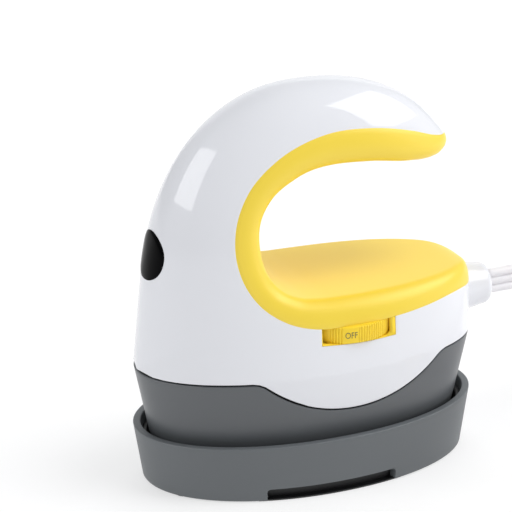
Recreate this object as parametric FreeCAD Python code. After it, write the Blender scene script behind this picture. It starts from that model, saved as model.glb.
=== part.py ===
import FreeCAD, Part
import math
import os

# A mini handheld heat press standing in its rest.
#
# Frame: millimetres, +Z up.  The origin is on the table, under the middle of
# the rest.  -X is the front, where the indicator lens is, +X is the rear,
# where the mains cord leaves, and the thumbwheel looks out of the -Y side.

os.makedirs("parts", exist_ok=True)
V = FreeCAD.Vector

# ---- Outer form of the press ----
# Every level is an oval.  Above the shoulder its front, rear and half width
# follow superellipses: reach * (1 - u^q)^(1/p), u going from 0 at the
# shoulder to 1 at the top.
press_top = 145.0
shoulder_z = 45.0
crown_x = -2.5                 # the top stands over this x
front_reach = 60.0
front_p = 2.05
front_q = 2.85
front_flare = 1.5              # the front spreads by this much at the shoulder,
flare_top = 90.0               # starting from nothing at this level
rear_reach = 67.2
rear_p = 2.30
rear_q = 3.75
side_reach = 34.3
side_p = 2.35
side_q = 1.10
press_fullness = 2.3
skirt_front_draft = 8.0        # from the shoulder down to the skirt's rim
skirt_rear_draft = 8.6
skirt_side_draft = 5.2

# ---- Rest: an oval cradle of heat-proof plastic ----
rest_end_room = 0.65           # the rest is longer than the press by this at each end
rest_side_room = 3.2           # and wider by this at each side
rest_shift = 0.35              # its middle stands this far in front of the press's middle
rest_length = front_reach + front_flare + rear_reach + 2 * rest_end_room
rest_width = 2 * (side_reach + rest_side_room)
rest_middle = crown_x + (rear_reach - front_reach - front_flare) / 2 - rest_shift
rest_top = 21.2
rest_floor_gap = 0.5           # the feet lift the shell by this much
rest_end_draft = 3.7           # each end leans in by this much at the floor
rest_side_draft = 1.5
rest_wall = 2.8
rest_fullness = 2.15           # exponent of the plan oval
notch_middle = -3.7            # from the middle of the rest
notch_width = 49.8
notch_height = 4.8
notch_corner = 1.6
foot_radius = 3.0
foot_inset = 12.0              # from each end of the rest to a foot's middle
foot_y = 14.0
rib_height = 4.1               # the tray stands on these ribs
rib_width = 9.0
rib_length = 10.0

# ---- Tray: the black liner of the rest that the press stands on ----
tray_clearance = 0.25
tray_wall = 1.6
tray_bottom = 4.6
tray_ledge = 1.4               # thickness of the ledge under the skirt
tray_top = 17.6
tray_hole_margin = 1.2         # the ledge's hole clears the heat plate by this

# ---- Housing ----
housing_wall = 2.5
housing_bottom = 28.0          # lower than the lowest point of the seam
seam_gap = 0.3
dip_middle = 6.5               # the seam dips under the wheel as an arc
dip_radius = 63.5
dip_bottom = 31.4
dip_fillet = 8.0

# ---- Skirt and what hangs in it ----
skirt_bottom = tray_bottom + tray_ledge
skirt_wall = 2.4
shelf_width = 10.5             # the shelf reaches in from the skirt's rim
shelf_thickness = 2.0
plate_thickness = 5.0
plate_clearance = 0.9
plate_proud = 1.0              # the plate stands below the skirt by this much
heater_length = 80.0
heater_width = 32.0
heater_thickness = 1.0
clamp_plate_thickness = 1.5
clamp_plate_margin = 1.0
felt_thickness = 4.0
felt_length = 92.0
felt_width = 39.0
shield_thickness = 0.8
shield_length = 96.0
shield_width = 43.0
inner_fullness = 2.3

# ---- Posts, screws ----
post_x = 37.0
post_y = 20.0
post_radius = 3.7
post_top = 33.0
post_shoulder = 3.4            # depth of the screw's counterbore
boss_radius = 3.4
boss_top = 57.0
boss_rib = 2.0
case_screw_radius = 1.5
case_screw_head = 2.8
case_screw_head_height = 2.2
case_screw_bite = 12.0         # how deep it bites into the boss
screw_hole_play = 0.15
small_screw_radius = 1.5
small_screw_head = 2.4
small_screw_head_height = 1.7
small_screw_bite = 3.4
plate_screw_inset = 4.6        # from the skirt's inner wall
heater_screw_x = 33.0

# ---- Board and what is soldered to it ----
board_length = 82.0
board_width = 46.0
board_thickness = 1.6
board_corner = 6.0
relay_size = (19.0, 15.5, 15.0)
relay_at = (-18.0, 8.0)
capacitor_size = (18.0, 8.0, 13.0)
capacitor_at = (-20.0, -12.0)
terminal_size = (10.0, 16.0, 10.0)
terminal_at = (30.0, 8.0)
switch_size = (15.0, 15.0, 8.0)
lead_radius = 0.9
heater_lead_x = (-24.0, 24.0)
heater_lead_y = 4.0
sensor_at = (6.0, 8.0)
sensor_radius = 2.2
sensor_height = 5.5
fuse_at = (-4.0, -8.0)
fuse_radius = 1.9
fuse_length = 12.0

# ---- Thumbwheel ----
wheel_x = 7.7
wheel_y = -14.0
wheel_radius = 20.2
wheel_bottom = 55.75
wheel_height = 6.25
wheel_web = 3.0
wheel_rim = 3.2
wheel_hub = 6.0
groove_count = 96
groove_radius = 0.36
spindle_radius = 3.0
spindle_bottom_gap = 1.0
spindle_top = 66.2
running_play = 0.05
press_play = 0.02
window_left = -7.1
window_right = 22.5
window_bottom = 54.7
bezel_wall = 1.0
bezel_floor = 0.7
bezel_end = 1.9                # the thicker wall towards the rear
bezel_depth = 6.5
bezel_play = 0.05
wheel_play = 0.35
pivot_boss_radius = 5.4

# ---- Yellow liner: deck, inner face of the column, underside of the grip ----
# Pairs (x, z): the seam on the outside, then the face in the finger gap,
# from the rear of the deck round to the nose of the grip.
liner_pairs = [
    ((63.4, 67.0), (63.2, 69.3)),
    ((60.6, 66.6), (60.4, 69.6)),
    ((55.0, 66.0), (54.8, 69.7)),
    ((44.5, 64.7), (44.0, 69.7)),
    ((23.0, 62.6), (23.0, 69.7)),
    ((0.0, 62.4), (3.0, 69.7)),
    ((-12.6, 63.3), (-7.5, 70.0)),
    ((-24.0, 68.5), (-16.6, 73.4)),
    ((-32.0, 78.2), (-22.0, 80.8)),
    ((-35.6, 90.0), (-24.2, 90.0)),
    ((-34.8, 100.4), (-23.6, 99.0)),
    ((-29.0, 112.6), (-18.6, 107.8)),
    ((-17.9, 122.2), (-9.6, 113.4)),
    ((2.0, 129.0), (3.4, 116.6)),
    ((21.0, 128.5), (20.5, 115.7)),
    ((37.0, 124.4), (36.0, 113.0)),
    ((47.0, 121.0), (46.4, 112.2)),
    ((52.4, 119.8), (52.4, 113.0)),
    ((55.2, 119.2), (55.4, 114.2)),
]
liner_wall = 2.2
liner_round = 7.5              # reach of the rounding beside the seam
liner_play = 0.2

# ---- Indicator in the front ----
lens_bottom = 78.4
lens_top = 96.6
lens_half_width = 8.0
lens_widest = 86.0
lens_proud = 0.5
lens_play = 0.15
lens_flange = 1.5
lens_flange_thickness = 1.4
guide_radius = 4.0
guide_length = 3.0
led_radius = 2.5
led_length = 5.0
led_board_thickness = 1.2
led_board_width = 28.4
led_board_height = 11.0
led_screw_y = 11.9
led_peg_radius = 2.2
led_wire_radius = 0.6
led_wire_y = 2.5
led_wire_foot = -37.0

# ---- Cord outlet ----
cord_z = 56.0
bush_radius = 8.3
bush_end = 74.5
bush_round = 2.6
bush_flange_radius = 10.5
bush_flange_thickness = 2.0
bush_flange_x = 59.0
bush_bore_play = 0.1
clamp_length = 7.0
clamp_width = 23.0
clamp_thickness = 1.8
clamp_screw_y = 8.0
clamp_gap = 0.6               # between the saddle and its bar
clamp_play = 0.03
bar_bottom = 47.0
tail_start = 46.0
core_pitch = 2.6               # between the cores of the flat cord

# ---- Mains cord ----
cord_radius = 4.2              # half the width of the flat cord
cord_route = [
    (bush_end, 0.0, cord_z),
    (85.5, 0.0, cord_z),
    (100.7, 3.1, 55.2),
    (118.7, 10.0, 51.1),
    (136.8, 17.6, 43.8),
    (150.3, 21.0, 36.3),
    (163.1, 20.0, 27.6),
    (174.7, 14.4, 19.0),
    (184.1, 4.5, 11.7),
    (190.7, -8.6, 6.5),
    (193.8, -23.6, 4.2),
    (193.8, -36.0, 4.2),
]
end_route = [
    (182.5, -16.0, 4.2),
    (182.5, -28.5, 4.2),
    (178.8, -44.4, 6.8),
    (170.3, -57.6, 11.9),
    (157.4, -66.9, 16.4),
    (142.6, -70.9, 18.6),
    (129.6, -70.9, 18.6),
]
arc_share = 0.45               # of the shorter run, kept for each arc
coil_x = 140.0
coil_y = -38.0
coil_inner = 36.0
coil_outer = 58.0
coil_height = 8.6
coil_round = 2.5
coil_pocket_play = 0.4
relief_length = 16.0
relief_radius = 4.6
plug_length = 27.0
plug_width = 26.0
plug_height = 20.0
plug_round = 4.0
blade_length = 17.0
blade_width = 6.3
blade_thickness = 1.6
blade_spacing = 12.7
ground_pin_radius = 2.4
ground_pin_length = 20.0
ground_pin_drop = 9.0

RING_POINTS = 36


# ---- Helpers ----
def oval(middle, half_length, half_width, z, fullness):
    """A closed curve: (a cos t, b sin t) times (|cos t|^n + |sin t|^n)^(-1/n)."""
    points = []
    for i in range(RING_POINTS):
        t = 2 * math.pi * i / RING_POINTS + math.pi / 2
        c = math.cos(t)
        s = math.sin(t)
        k = (abs(c) ** fullness + abs(s) ** fullness) ** (-1 / fullness)
        points.append(V(middle + half_length * c * k, half_width * s * k, z))
    curve = Part.BSplineCurve()
    steps = [i / RING_POINTS for i in range(RING_POINTS + 1)]
    curve.interpolate(Points=points, PeriodicFlag=True, Parameters=steps)
    return Part.Wire(curve.toShape())


def oval_plate(half_length, half_width, low, high, middle=0.0):
    """A flat oval plate with upright edges."""
    face = Part.Face(oval(middle, half_length, half_width, low, inner_fullness))
    return face.extrude(V(0, 0, high - low))


def box(x0, x1, y0, y1, z0, z1):
    return Part.makeBox(x1 - x0, y1 - y0, z1 - z0, V(x0, y0, z0))


def block(size, at, bottom):
    """A box of (x, y, z) size whose foot is centred at (x, y)."""
    return box(at[0] - size[0] / 2, at[0] + size[0] / 2, at[1] - size[1] / 2,
               at[1] + size[1] / 2, bottom, bottom + size[2])


def rod(radius, x, y, low, high):
    return Part.makeCylinder(radius, high - low, V(x, y, low))


def rod_x(radius, x0, x1, y, z):
    return Part.makeCylinder(radius, x1 - x0, V(x0, y, z), V(1, 0, 0))


def posts():
    """The four corner places, front left first."""
    return [(sx * post_x, sy * post_y) for sx in (-1, 1) for sy in (-1, 1)]


def join(first, others):
    return first.fuse(others).removeSplitter()


def group(solids):
    return Part.makeCompound(solids)


def save(name, shape):
    solids = shape.Solids
    assert solids and all(s.isValid() for s in solids), name
    shape.exportStep("parts/" + name + ".step")
    box_size = shape.BoundBox
    print("%-18s solids %d  volume %9.1f  x %.1f..%.1f  y %.1f..%.1f  z %.1f..%.1f" % (
        name, len(solids), sum(s.Volume for s in solids), box_size.XMin, box_size.XMax,
        box_size.YMin, box_size.YMax, box_size.ZMin, box_size.ZMax))


# ---- Outer form ----
def reach(u, size, p, q):
    return size * (1 - min(u, 1.0) ** q) ** (1 / p)


def outline(z, inset):
    """(front x, rear x, half width) of the press at a level, moved in by inset."""
    top = press_top - inset
    flare = front_flare * min(max((flare_top - z) / (flare_top - shoulder_z), 0.0), 1.0) ** 2
    if z < shoulder_z:
        share = (shoulder_z - z) / (shoulder_z - skirt_bottom)
        return (crown_x - front_reach - flare + inset + skirt_front_draft * share,
                crown_x + rear_reach - inset - skirt_rear_draft * share,
                side_reach - inset - skirt_side_draft * share)
    u = (z - shoulder_z) / (top - shoulder_z)
    return (crown_x - flare - reach(u, front_reach - inset, front_p, front_q),
            crown_x + reach(u, rear_reach - inset, rear_p, rear_q),
            reach(u, side_reach - inset, side_p, side_q))


def half_width_at(x, z):
    """How far the outside is from the middle plane at (x, z)."""
    front, rear, side = outline(z, 0.0)
    middle = (front + rear) / 2
    share = min(abs(x - middle) / ((rear - front) / 2), 1.0)
    return side * (1 - share ** press_fullness) ** (1 / press_fullness)


def level(z, inset):
    front, rear, side = outline(z, inset)
    return oval((front + rear) / 2, (rear - front) / 2, side, z, press_fullness)


def dome(inset):
    """The press above the bottom of the housing as one solid, moved in by inset."""
    top = press_top - inset
    angles = [0, 9, 18, 27, 36, 45, 54, 62, 70, 77, 83, 87.5]
    levels = [housing_bottom, (housing_bottom + shoulder_z) / 2]
    levels += [shoulder_z + (top - shoulder_z) * math.sin(math.radians(a)) for a in angles]
    rings = [level(z, inset) for z in levels]
    lower = Part.makeLoft(rings[:3:2], True, True)
    upper = Part.makeLoft(rings[2:] + [Part.Vertex(V(crown_x, 0, top))], True)
    return lower.fuse(upper)


def skirt_form(inset, low, high):
    """The skirt's outside between two levels, moved in by inset."""
    return Part.makeLoft([level(low, inset), level(high, inset)], True, True)


def seam_tool(gap):
    """Everything under the seam: a slab below the shoulder less a lying cylinder."""
    slab = box(-90, 90, -60, 60, -10, shoulder_z - gap)
    centre = V(dip_middle, -60, dip_bottom + dip_radius)
    slab = slab.cut(Part.makeCylinder(dip_radius + gap, 120, centre, V(0, 1, 0)))
    edges = [e for e in slab.Edges if abs(e.Length - 120) < 0.1
             and abs(e.CenterOfMass.z - shoulder_z + gap) < 0.1
             and abs(e.CenterOfMass.x) < 60]
    return slab.makeFillet(dip_fillet, edges)


# ---- Liner ----
def pair(index, offset):
    """The seam point moved away from the gap by offset, and the gap point."""
    (sx, sz), (gx, gz) = liner_pairs[index]
    length = math.hypot(gx - sx, gz - sz)
    ex = (gx - sx) / length
    ez = (gz - sz) / length
    return V(sx - ex * offset, 0, sz - ez * offset), V(gx, 0, gz)


def liner_prism(offset):
    """The finger gap and the liner together, from side to side."""
    seam = [pair(i, offset)[0] for i in range(len(liner_pairs))]
    curve = Part.BSplineCurve()
    curve.interpolate(Points=[V(p.x, -60, p.z) for p in seam])
    start = curve.StartPoint
    end = curve.EndPoint
    out_low = V(90, -60, start.z)
    out_high = V(90, -60, end.z)
    wire = Part.Wire([curve.toShape(), Part.makeLine(end, out_high),
                      Part.makeLine(out_high, out_low), Part.makeLine(out_low, start)])
    return Part.Face(wire).extrude(V(0, 120, 0))


def corner(seam, gap, half_width, depth, rounding, side):
    """A quarter oval from the seam to the flat face of the gap."""
    along = (gap - seam).normalize()
    points = []
    for step in range(5):
        a = math.radians(22.5 * step)
        across = half_width - rounding + rounding * math.cos(a)
        points.append(seam + along * (depth * math.sin(a)) + V(0, side * across, 0))
    curve = Part.BSplineCurve()
    curve.interpolate(points)
    return curve


def liner_section(index, hollow):
    """Across the liner: rounded sides and a flat face, or the space behind them."""
    seam, gap = pair(index, 0.0)
    depth = (gap - seam).Length
    half = max(half_width_at(seam.x, seam.z), 2.4 * liner_wall)
    rounding = min(liner_round, half - liner_wall - 0.8)
    back = V(0, 0, 0)
    if hollow:
        wall = min(liner_wall, 0.45 * depth)
        half = half - wall
        depth = depth - wall
        rounding = max(rounding - wall, 0.6)
        back = (seam - gap).normalize()
    sides = [corner(seam, gap, half, depth, rounding, s) for s in (-1, 1)]
    edges = [sides[0].toShape(), Part.makeLine(sides[0].EndPoint, sides[1].EndPoint),
             sides[1].toShape()]
    left = sides[0].StartPoint
    right = sides[1].StartPoint
    if hollow:
        edges.append(Part.makeLine(right, right + back))
        edges.append(Part.makeLine(right + back, left + back))
        edges.append(Part.makeLine(left + back, left))
    else:
        edges.append(Part.makeLine(right, left))
    return Part.Wire(edges)


def grip_liner():
    last = len(liner_pairs) - 1
    body = Part.makeLoft([liner_section(i, False) for i in range(last + 1)], True)
    body = body.cut(Part.makeLoft([liner_section(i, True) for i in range(1, last)], True))
    deck_under = liner_pairs[4][1][1] - liner_wall
    boss = rod(pivot_boss_radius, wheel_x, wheel_y, wheel_bottom + wheel_height + wheel_play,
               deck_under + 0.5)
    bore = rod(spindle_radius + running_play, wheel_x, wheel_y, wheel_bottom,
               spindle_top + wheel_play)
    return join(body, [boss]).cut(bore)


# ---- Housing ----
def egg(spread):
    """The outline of the indicator in the plane x = 0, grown by spread."""
    half = lens_half_width + spread
    tip = V(0, 0, lens_top + spread * 1.3)
    low = V(0, 0, lens_bottom - spread)
    left = V(0, -half, lens_widest)
    right = V(0, half, lens_widest)
    rise = lens_widest + (tip.z - lens_widest) * 0.55
    wire = [Part.Arc(left, low, right).toShape(),
            Part.Arc(right, V(0, half * 0.80, rise), tip).toShape(),
            Part.Arc(tip, V(0, -half * 0.80, rise), left).toShape()]
    return Part.Face(Part.Wire(wire))


def egg_prism(spread):
    face = egg(spread)
    face.translate(V(crown_x - front_reach - 8, 0, 0))
    return face.extrude(V(20, 0, 0))


def board_level():
    return post_top + board_thickness


def housing(outer, inner):
    shell = outer.cut(inner).cut(seam_tool(0.0)).cut(liner_prism(liner_play))
    within = dome(housing_wall / 2)
    bosses = []
    for x, y in posts():
        reach_y = math.copysign(side_reach, y)
        rib = box(x - boss_rib / 2, x + boss_rib / 2, min(y, reach_y), max(y, reach_y),
                  shoulder_z + 2, boss_top)
        bosses.append(rod(boss_radius, x, y, board_level(), boss_top))
        bosses.append(rib.common(within))
    bosses.append(clamp_bar(within))
    for side in (-1, 1):
        peg = rod_x(led_peg_radius, crown_x - front_reach, led_board_start(),
                    side * led_screw_y, lens_widest)
        bosses.append(peg.common(within))
    shell = join(shell, bosses)
    for x, y in posts():
        shell = shell.cut(rod(case_screw_radius, x, y, board_level(),
                              board_level() + case_screw_bite + 2))
    for side in (-1, 1):
        shell = shell.cut(rod_x(small_screw_radius, led_board_start() - small_screw_bite,
                                led_board_start(), side * led_screw_y, lens_widest))
    window = box(window_left, window_right, -60, wheel_y - wheel_rim, window_bottom,
                 liner_pairs[4][0][1] + 2)
    outlet = rod_x(bush_radius + 0.1, bush_flange_x, 90, 0, cord_z)
    return shell.cut(window).cut(egg_prism(lens_play)).cut(outlet)


def bezel(outer):
    """The yellow lining of the wheel's window: left, bottom and right walls."""
    low = window_bottom + bezel_play
    top = liner_pairs[5][0][1] - liner_play
    left = window_left + bezel_play
    right = window_right - bezel_play
    back = bezel_depth - side_reach
    frame = box(left, right, -60, back, low, top)
    frame = frame.cut(box(left + bezel_wall, right - bezel_end, -61, back + 1,
                          low + bezel_floor, top + 1))
    frame = frame.common(outer)
    return frame.cut(rod(wheel_radius + wheel_play, wheel_x, wheel_y, low + bezel_floor, top + 1))


# ---- Thumbwheel ----
def thumbwheel():
    top = wheel_bottom + wheel_height
    body = rod(wheel_radius, wheel_x, wheel_y, wheel_bottom, top)
    hollow = rod(wheel_radius - wheel_rim, wheel_x, wheel_y, wheel_bottom, top - wheel_web)
    hollow = hollow.cut(rod(wheel_hub, wheel_x, wheel_y, wheel_bottom, top))
    body = body.makeChamfer(0.5, [e for e in body.Edges if e.Length > 2 * wheel_radius * 3])
    grooves = []
    for i in range(groove_count):
        a = 2 * math.pi * i / groove_count
        grooves.append(rod(groove_radius, wheel_x + wheel_radius * math.cos(a),
                           wheel_y + wheel_radius * math.sin(a), wheel_bottom - 1, top + 1))
    bore = rod(spindle_radius + press_play, wheel_x, wheel_y, wheel_bottom - 1, top + 1)
    return body.cut(hollow).cut(bore).cut(grooves)


def wheel_spindle():
    return rod(spindle_radius, wheel_x, wheel_y, board_level() + spindle_bottom_gap, spindle_top)


def level_switch():
    body = block(switch_size, (wheel_x, wheel_y), board_level())
    return body.cut(rod(spindle_radius + running_play, wheel_x, wheel_y,
                        board_level() + spindle_bottom_gap - 0.3, 90))


# ---- Indicator ----
def lens():
    window = egg_prism(0.0).common(dome(-lens_proud)).cut(dome(housing_wall + 0.1))
    flange = egg_prism(lens_flange).common(dome(housing_wall + 0.1))
    flange = flange.cut(dome(housing_wall + 0.1 + lens_flange_thickness))
    return join(window, [flange])


def lens_back():
    """The x of the back of the indicator on its middle line."""
    return outline(lens_widest, housing_wall + 0.1 + lens_flange_thickness)[0]


def light_guide():
    body = rod_x(guide_radius, lens_back() - 2, lens_back() + guide_length, 0, lens_widest)
    return body.common(dome(housing_wall + 0.15 + lens_flange_thickness))


def status_led():
    start = lens_back() + guide_length
    body = rod_x(led_radius, start + 0.1, start + led_length, 0, lens_widest)
    return body.makeFillet(led_radius * 0.8, [body.Edges[2]])


def led_board_start():
    return lens_back() + guide_length + led_length


def led_board():
    start = led_board_start()
    body = box(start, start + led_board_thickness, -led_board_width / 2, led_board_width / 2,
               lens_widest - led_board_height / 2, lens_widest + led_board_height / 2)
    for side in (-1, 1):
        body = body.cut(rod_x(small_screw_radius + screw_hole_play, start - 1, start + 3,
                              side * led_screw_y, lens_widest))
    return body


def led_screws():
    """Two screws that hold the indicator's board to its pegs, heads to the rear."""
    seat = led_board_start() + led_board_thickness
    screws = []
    for side in (-1, 1):
        y = side * led_screw_y
        shank = rod_x(small_screw_radius, led_board_start() - small_screw_bite, seat + 0.1, y,
                      lens_widest)
        head = rod_x(small_screw_head, seat, seat + small_screw_head_height, y, lens_widest)
        screws.append(join(shank, [head]))
    return group(screws)


def led_wires():
    """Two wires from the indicator's board down to the main board."""
    x0 = led_board_start() + led_board_thickness
    z0 = lens_widest - led_board_height / 2 + 2
    wires = []
    for side in (-1, 1):
        y = side * led_wire_y
        route = [(x0, y, z0), (x0 + 3.5, y, z0), (led_wire_foot - 1, y, z0 - 18),
                 (led_wire_foot, y, board_level() + 12), (led_wire_foot, y, board_level())]
        wires.append(tube(route, led_wire_radius))
    return group(wires)


# ---- Skirt and heating ----
def inner_skirt(z):
    """Half sizes of the space inside the skirt at a level."""
    front, rear, side = outline(z, skirt_wall)
    return (front + rear) / 2, (rear - front) / 2, side


def shelf_level():
    return skirt_bottom - plate_proud + plate_thickness


def skirt():
    body = skirt_form(0.0, skirt_bottom, shoulder_z - 0.01)
    body = body.cut(skirt_form(skirt_wall, skirt_bottom, shoulder_z))
    ring = skirt_form(0.1, shelf_level(), shelf_level() + shelf_thickness)
    middle, a, b = inner_skirt(shelf_level())
    hole = oval_plate(a - shelf_width, b - shelf_width + 2.6, 0, 40, middle)
    body = join(body, [ring.cut(hole)] + [rod(post_radius, x, y, shelf_level(), post_top)
                                          for x, y in posts()])
    keep = seam_tool(seam_gap)
    body = body.common(keep)
    for x, y in posts():
        body = body.cut(rod(case_screw_radius + screw_hole_play, x, y, 0, 60))
        body = body.cut(rod(case_screw_head + screw_hole_play, x, y, shelf_level() - 1,
                            shelf_level() + post_shoulder))
    for x, y in plate_screw_places():
        body = body.cut(rod(small_screw_radius + screw_hole_play, x, y, 0, 30))
    return body


def plate_screw_places():
    middle, a, b = inner_skirt(shelf_level())
    return [(middle - a + plate_screw_inset, 0.0), (middle + a - plate_screw_inset, 0.0),
            (middle, b - plate_screw_inset), (middle, plate_screw_inset - b)]


def heat_plate():
    middle, a, b = inner_skirt(skirt_bottom)
    low = skirt_bottom - plate_proud
    body = oval_plate(a - plate_clearance, b - plate_clearance, low, shelf_level(), middle)
    body = body.makeFillet(1.2, [e for e in body.Edges
                                 if e.BoundBox.ZMax < low + 0.1 and e.Length > 20])
    for x, y in plate_screw_places():
        body = body.cut(rod(small_screw_radius, x, y, shelf_level() - small_screw_bite, 40))
    for side in (-1, 1):
        body = body.cut(rod(small_screw_radius, side * heater_screw_x, 0,
                            shelf_level() - small_screw_bite, 40))
    return body


def heater_stack(margin, low, high):
    body = oval_plate(heater_length / 2 + margin, heater_width / 2 + margin, low, high)
    for side in (-1, 1):
        body = body.cut(rod(small_screw_radius + screw_hole_play, side * heater_screw_x, 0,
                            low - 1, high + 1))
    return body


def mica_heater():
    return heater_stack(0.0, shelf_level(), shelf_level() + heater_thickness)


def clamp_level():
    return shelf_level() + heater_thickness + clamp_plate_thickness


def heater_clamp():
    return heater_stack(clamp_plate_margin, shelf_level() + heater_thickness, clamp_level())


def lead_places():
    return [(x, y) for x in heater_lead_x for y in (-heater_lead_y, heater_lead_y)]


def through_holes(body):
    """Room for the leads, the sensor, the fuse and the screw heads."""
    for x, y in lead_places():
        body = body.cut(rod(lead_radius + 0.3, x, y, 0, 60))
    body = body.cut(rod(sensor_radius + 0.3, sensor_at[0], sensor_at[1], 0, 60))
    body = body.cut(fuse_shape(fuse_radius + 0.3, 0.3))
    for side in (-1, 1):
        body = body.cut(rod(small_screw_head + 0.3, side * heater_screw_x, 0, 0,
                            clamp_level() + felt_thickness))
    return body


def felt_pad():
    pad = oval_plate(felt_length / 2, felt_width / 2, clamp_level(),
                     clamp_level() + felt_thickness)
    return through_holes(pad)


def shield_level():
    return clamp_level() + felt_thickness


def heat_shield():
    body = oval_plate(shield_length / 2, shield_width / 2, shield_level(),
                      shield_level() + shield_thickness)
    body = through_holes(body)
    for x, y in posts():
        body = body.cut(rod(post_radius + 0.4, x, y, 0, 60))
    return body


def fuse_shape(radius, extra):
    return rod_x(radius, fuse_at[0] - fuse_length / 2 - extra, fuse_at[0] + fuse_length / 2 + extra,
                 fuse_at[1], clamp_level() + fuse_radius)


def thermal_fuse():
    return fuse_shape(fuse_radius, 0.0)


def temperature_sensor():
    bead = rod(sensor_radius, sensor_at[0], sensor_at[1], clamp_level(),
               clamp_level() + sensor_height)
    stem = rod(lead_radius, sensor_at[0], sensor_at[1], clamp_level(), post_top)
    return join(bead, [stem])


def screw(x, y, seat, radius, head, head_height, length, up):
    """A round-headed screw: seat is where its head rests, up says that it points up."""
    if up:
        return join(rod(radius, x, y, seat - 0.1, seat + length),
                    [rod(head, x, y, seat - head_height, seat)])
    return join(rod(radius, x, y, seat - length, seat + 0.1),
                [rod(head, x, y, seat, seat + head_height)])


def case_screws():
    seat = shelf_level() + post_shoulder
    length = board_level() + case_screw_bite - seat
    return group([screw(x, y, seat, case_screw_radius, case_screw_head,
                        case_screw_head_height, length, True) for x, y in posts()])


def plate_screws():
    seat = shelf_level() + shelf_thickness
    return group([screw(x, y, seat, small_screw_radius, small_screw_head,
                        small_screw_head_height, shelf_thickness + small_screw_bite, False)
                  for x, y in plate_screw_places()])


def heater_screws():
    length = clamp_level() - shelf_level() + small_screw_bite
    return group([screw(side * heater_screw_x, 0, clamp_level(), small_screw_radius,
                        small_screw_head, small_screw_head_height, length, False)
                  for side in (-1, 1)])


# ---- Board ----
def control_board():
    body = box(-board_length / 2, board_length / 2, -board_width / 2, board_width / 2,
               post_top, board_level())
    body = body.makeFillet(board_corner, [e for e in body.Edges
                                          if abs(e.Length - board_thickness) < 0.01])
    for x, y in posts():
        body = body.cut(rod(case_screw_radius + screw_hole_play, x, y, 0, 60))
    return body


def heater_leads():
    return group([rod(lead_radius, x, y, clamp_level(), post_top) for x, y in lead_places()])


def relay():
    return block(relay_size, relay_at, board_level())


def capacitor():
    body = block(capacitor_size, capacitor_at, board_level())
    return body.makeFillet(1.5, [e for e in body.Edges
                                 if abs(e.Length - capacitor_size[2]) < 0.01])


def terminal_block():
    body = block(terminal_size, terminal_at, board_level())
    top = board_level() + terminal_size[2]
    for step in (-1, 0, 1):
        body = body.cut(rod(1.6, terminal_at[0], terminal_at[1] + step * 5.0, top - 3, top + 1))
    return body


# ---- Cord outlet ----
def cord_bush():
    neck = rod_x(bush_radius, bush_flange_x, bush_end, 0, cord_z)
    rim = [e for e in neck.Edges if abs(e.CenterOfMass.x - bush_end) < 0.1 and e.Length > 20]
    neck = neck.makeFillet(bush_round, rim)
    flange = rod_x(bush_flange_radius, bush_flange_x - bush_flange_thickness, bush_flange_x,
                   0, cord_z)
    bore = rod_x(cord_radius + bush_bore_play, 40, 90, 0, cord_z)
    return join(neck, [flange]).cut(bore)


def cord_tail():
    """The end of the cord inside the press, up to the mouth of the bush."""
    return rod_x(cord_radius, tail_start, bush_end, 0, cord_z)


def clamp_x():
    return bush_flange_x - bush_flange_thickness - clamp_length


def clamp_bar(within):
    """The bridge of the housing that carries the cord, with a groove for it."""
    x0 = clamp_x()
    bar = box(x0, x0 + clamp_length, -side_reach, side_reach, bar_bottom, cord_z - clamp_gap)
    bar = bar.cut(rod_x(cord_radius + clamp_play, 40, 90, 0, cord_z))
    for side in (-1, 1):
        bar = bar.cut(rod(small_screw_radius, x0 + clamp_length / 2, side * clamp_screw_y,
                          cord_z - clamp_gap - small_screw_bite, 90))
    return bar.common(within)


def cord_clamp():
    """The saddle that holds the cord down on the bar."""
    x0 = clamp_x()
    saddle = box(x0, x0 + clamp_length, -clamp_width / 2, clamp_width / 2, cord_z,
                 cord_z + cord_radius + clamp_thickness)
    saddle = saddle.cut(rod_x(cord_radius + clamp_play, 40, 90, 0, cord_z))
    for side in (-1, 1):
        y = side * clamp_screw_y
        saddle = saddle.cut(rod(small_screw_radius + screw_hole_play, x0 + clamp_length / 2, y,
                                0, 90))
    return saddle


def clamp_screws():
    seat = cord_z + cord_radius + clamp_thickness
    length = seat - cord_z + clamp_gap + small_screw_bite
    x = clamp_x() + clamp_length / 2
    return group([screw(x, side * clamp_screw_y, seat, small_screw_radius, small_screw_head,
                        small_screw_head_height, length, False) for side in (-1, 1)])


def mains_leads():
    """Three cores from the end of the cord down to the terminal block."""
    leads = []
    for step in (-1, 0, 1):
        y = terminal_at[1] + step * 5.0
        top = board_level() + terminal_size[2]
        route = [(tail_start, step * core_pitch, cord_z), (tail_start - 3, step * core_pitch, cord_z),
                 (terminal_at[0] + 6, y * 0.5, cord_z - 1.5), (terminal_at[0], y, top + 5),
                 (terminal_at[0], y, top - 2.9)]
        leads.append(tube(route, lead_radius))
    return group(leads)


# ---- Cord ----
def tube(route, radius):
    """A round tube along straight runs joined by tangent arcs."""
    points = [V(*p) for p in route]
    edges = []
    last = points[0]
    for before, here, after in zip(points, points[1:], points[2:]):
        back = (before - here).normalize()
        on = (after - here).normalize()
        half_turn = (math.pi - back.getAngle(on)) / 2
        keep = arc_share * min((here - before).Length, (after - here).Length)
        bend = keep / math.tan(half_turn)
        a = here + back * keep
        b = here + on * keep
        middle = (back + on).normalize()
        top = here + middle * (bend / math.cos(half_turn) - bend)
        edges.append(Part.LineSegment(last, a).toShape())
        edges.append(Part.Arc(a, top, b).toShape())
        bends.append(bend)
        last = b
    edges.append(Part.LineSegment(last, points[-1]).toShape())
    path = Part.Wire(edges)
    start = Part.Wire(Part.Circle(points[0], points[1] - points[0], radius).toShape())
    body = path.makePipeShell([start], True, False)
    lengths.append((path.Length, body.Volume / (math.pi * radius ** 2)))
    return body


bends = []
lengths = []


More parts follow.
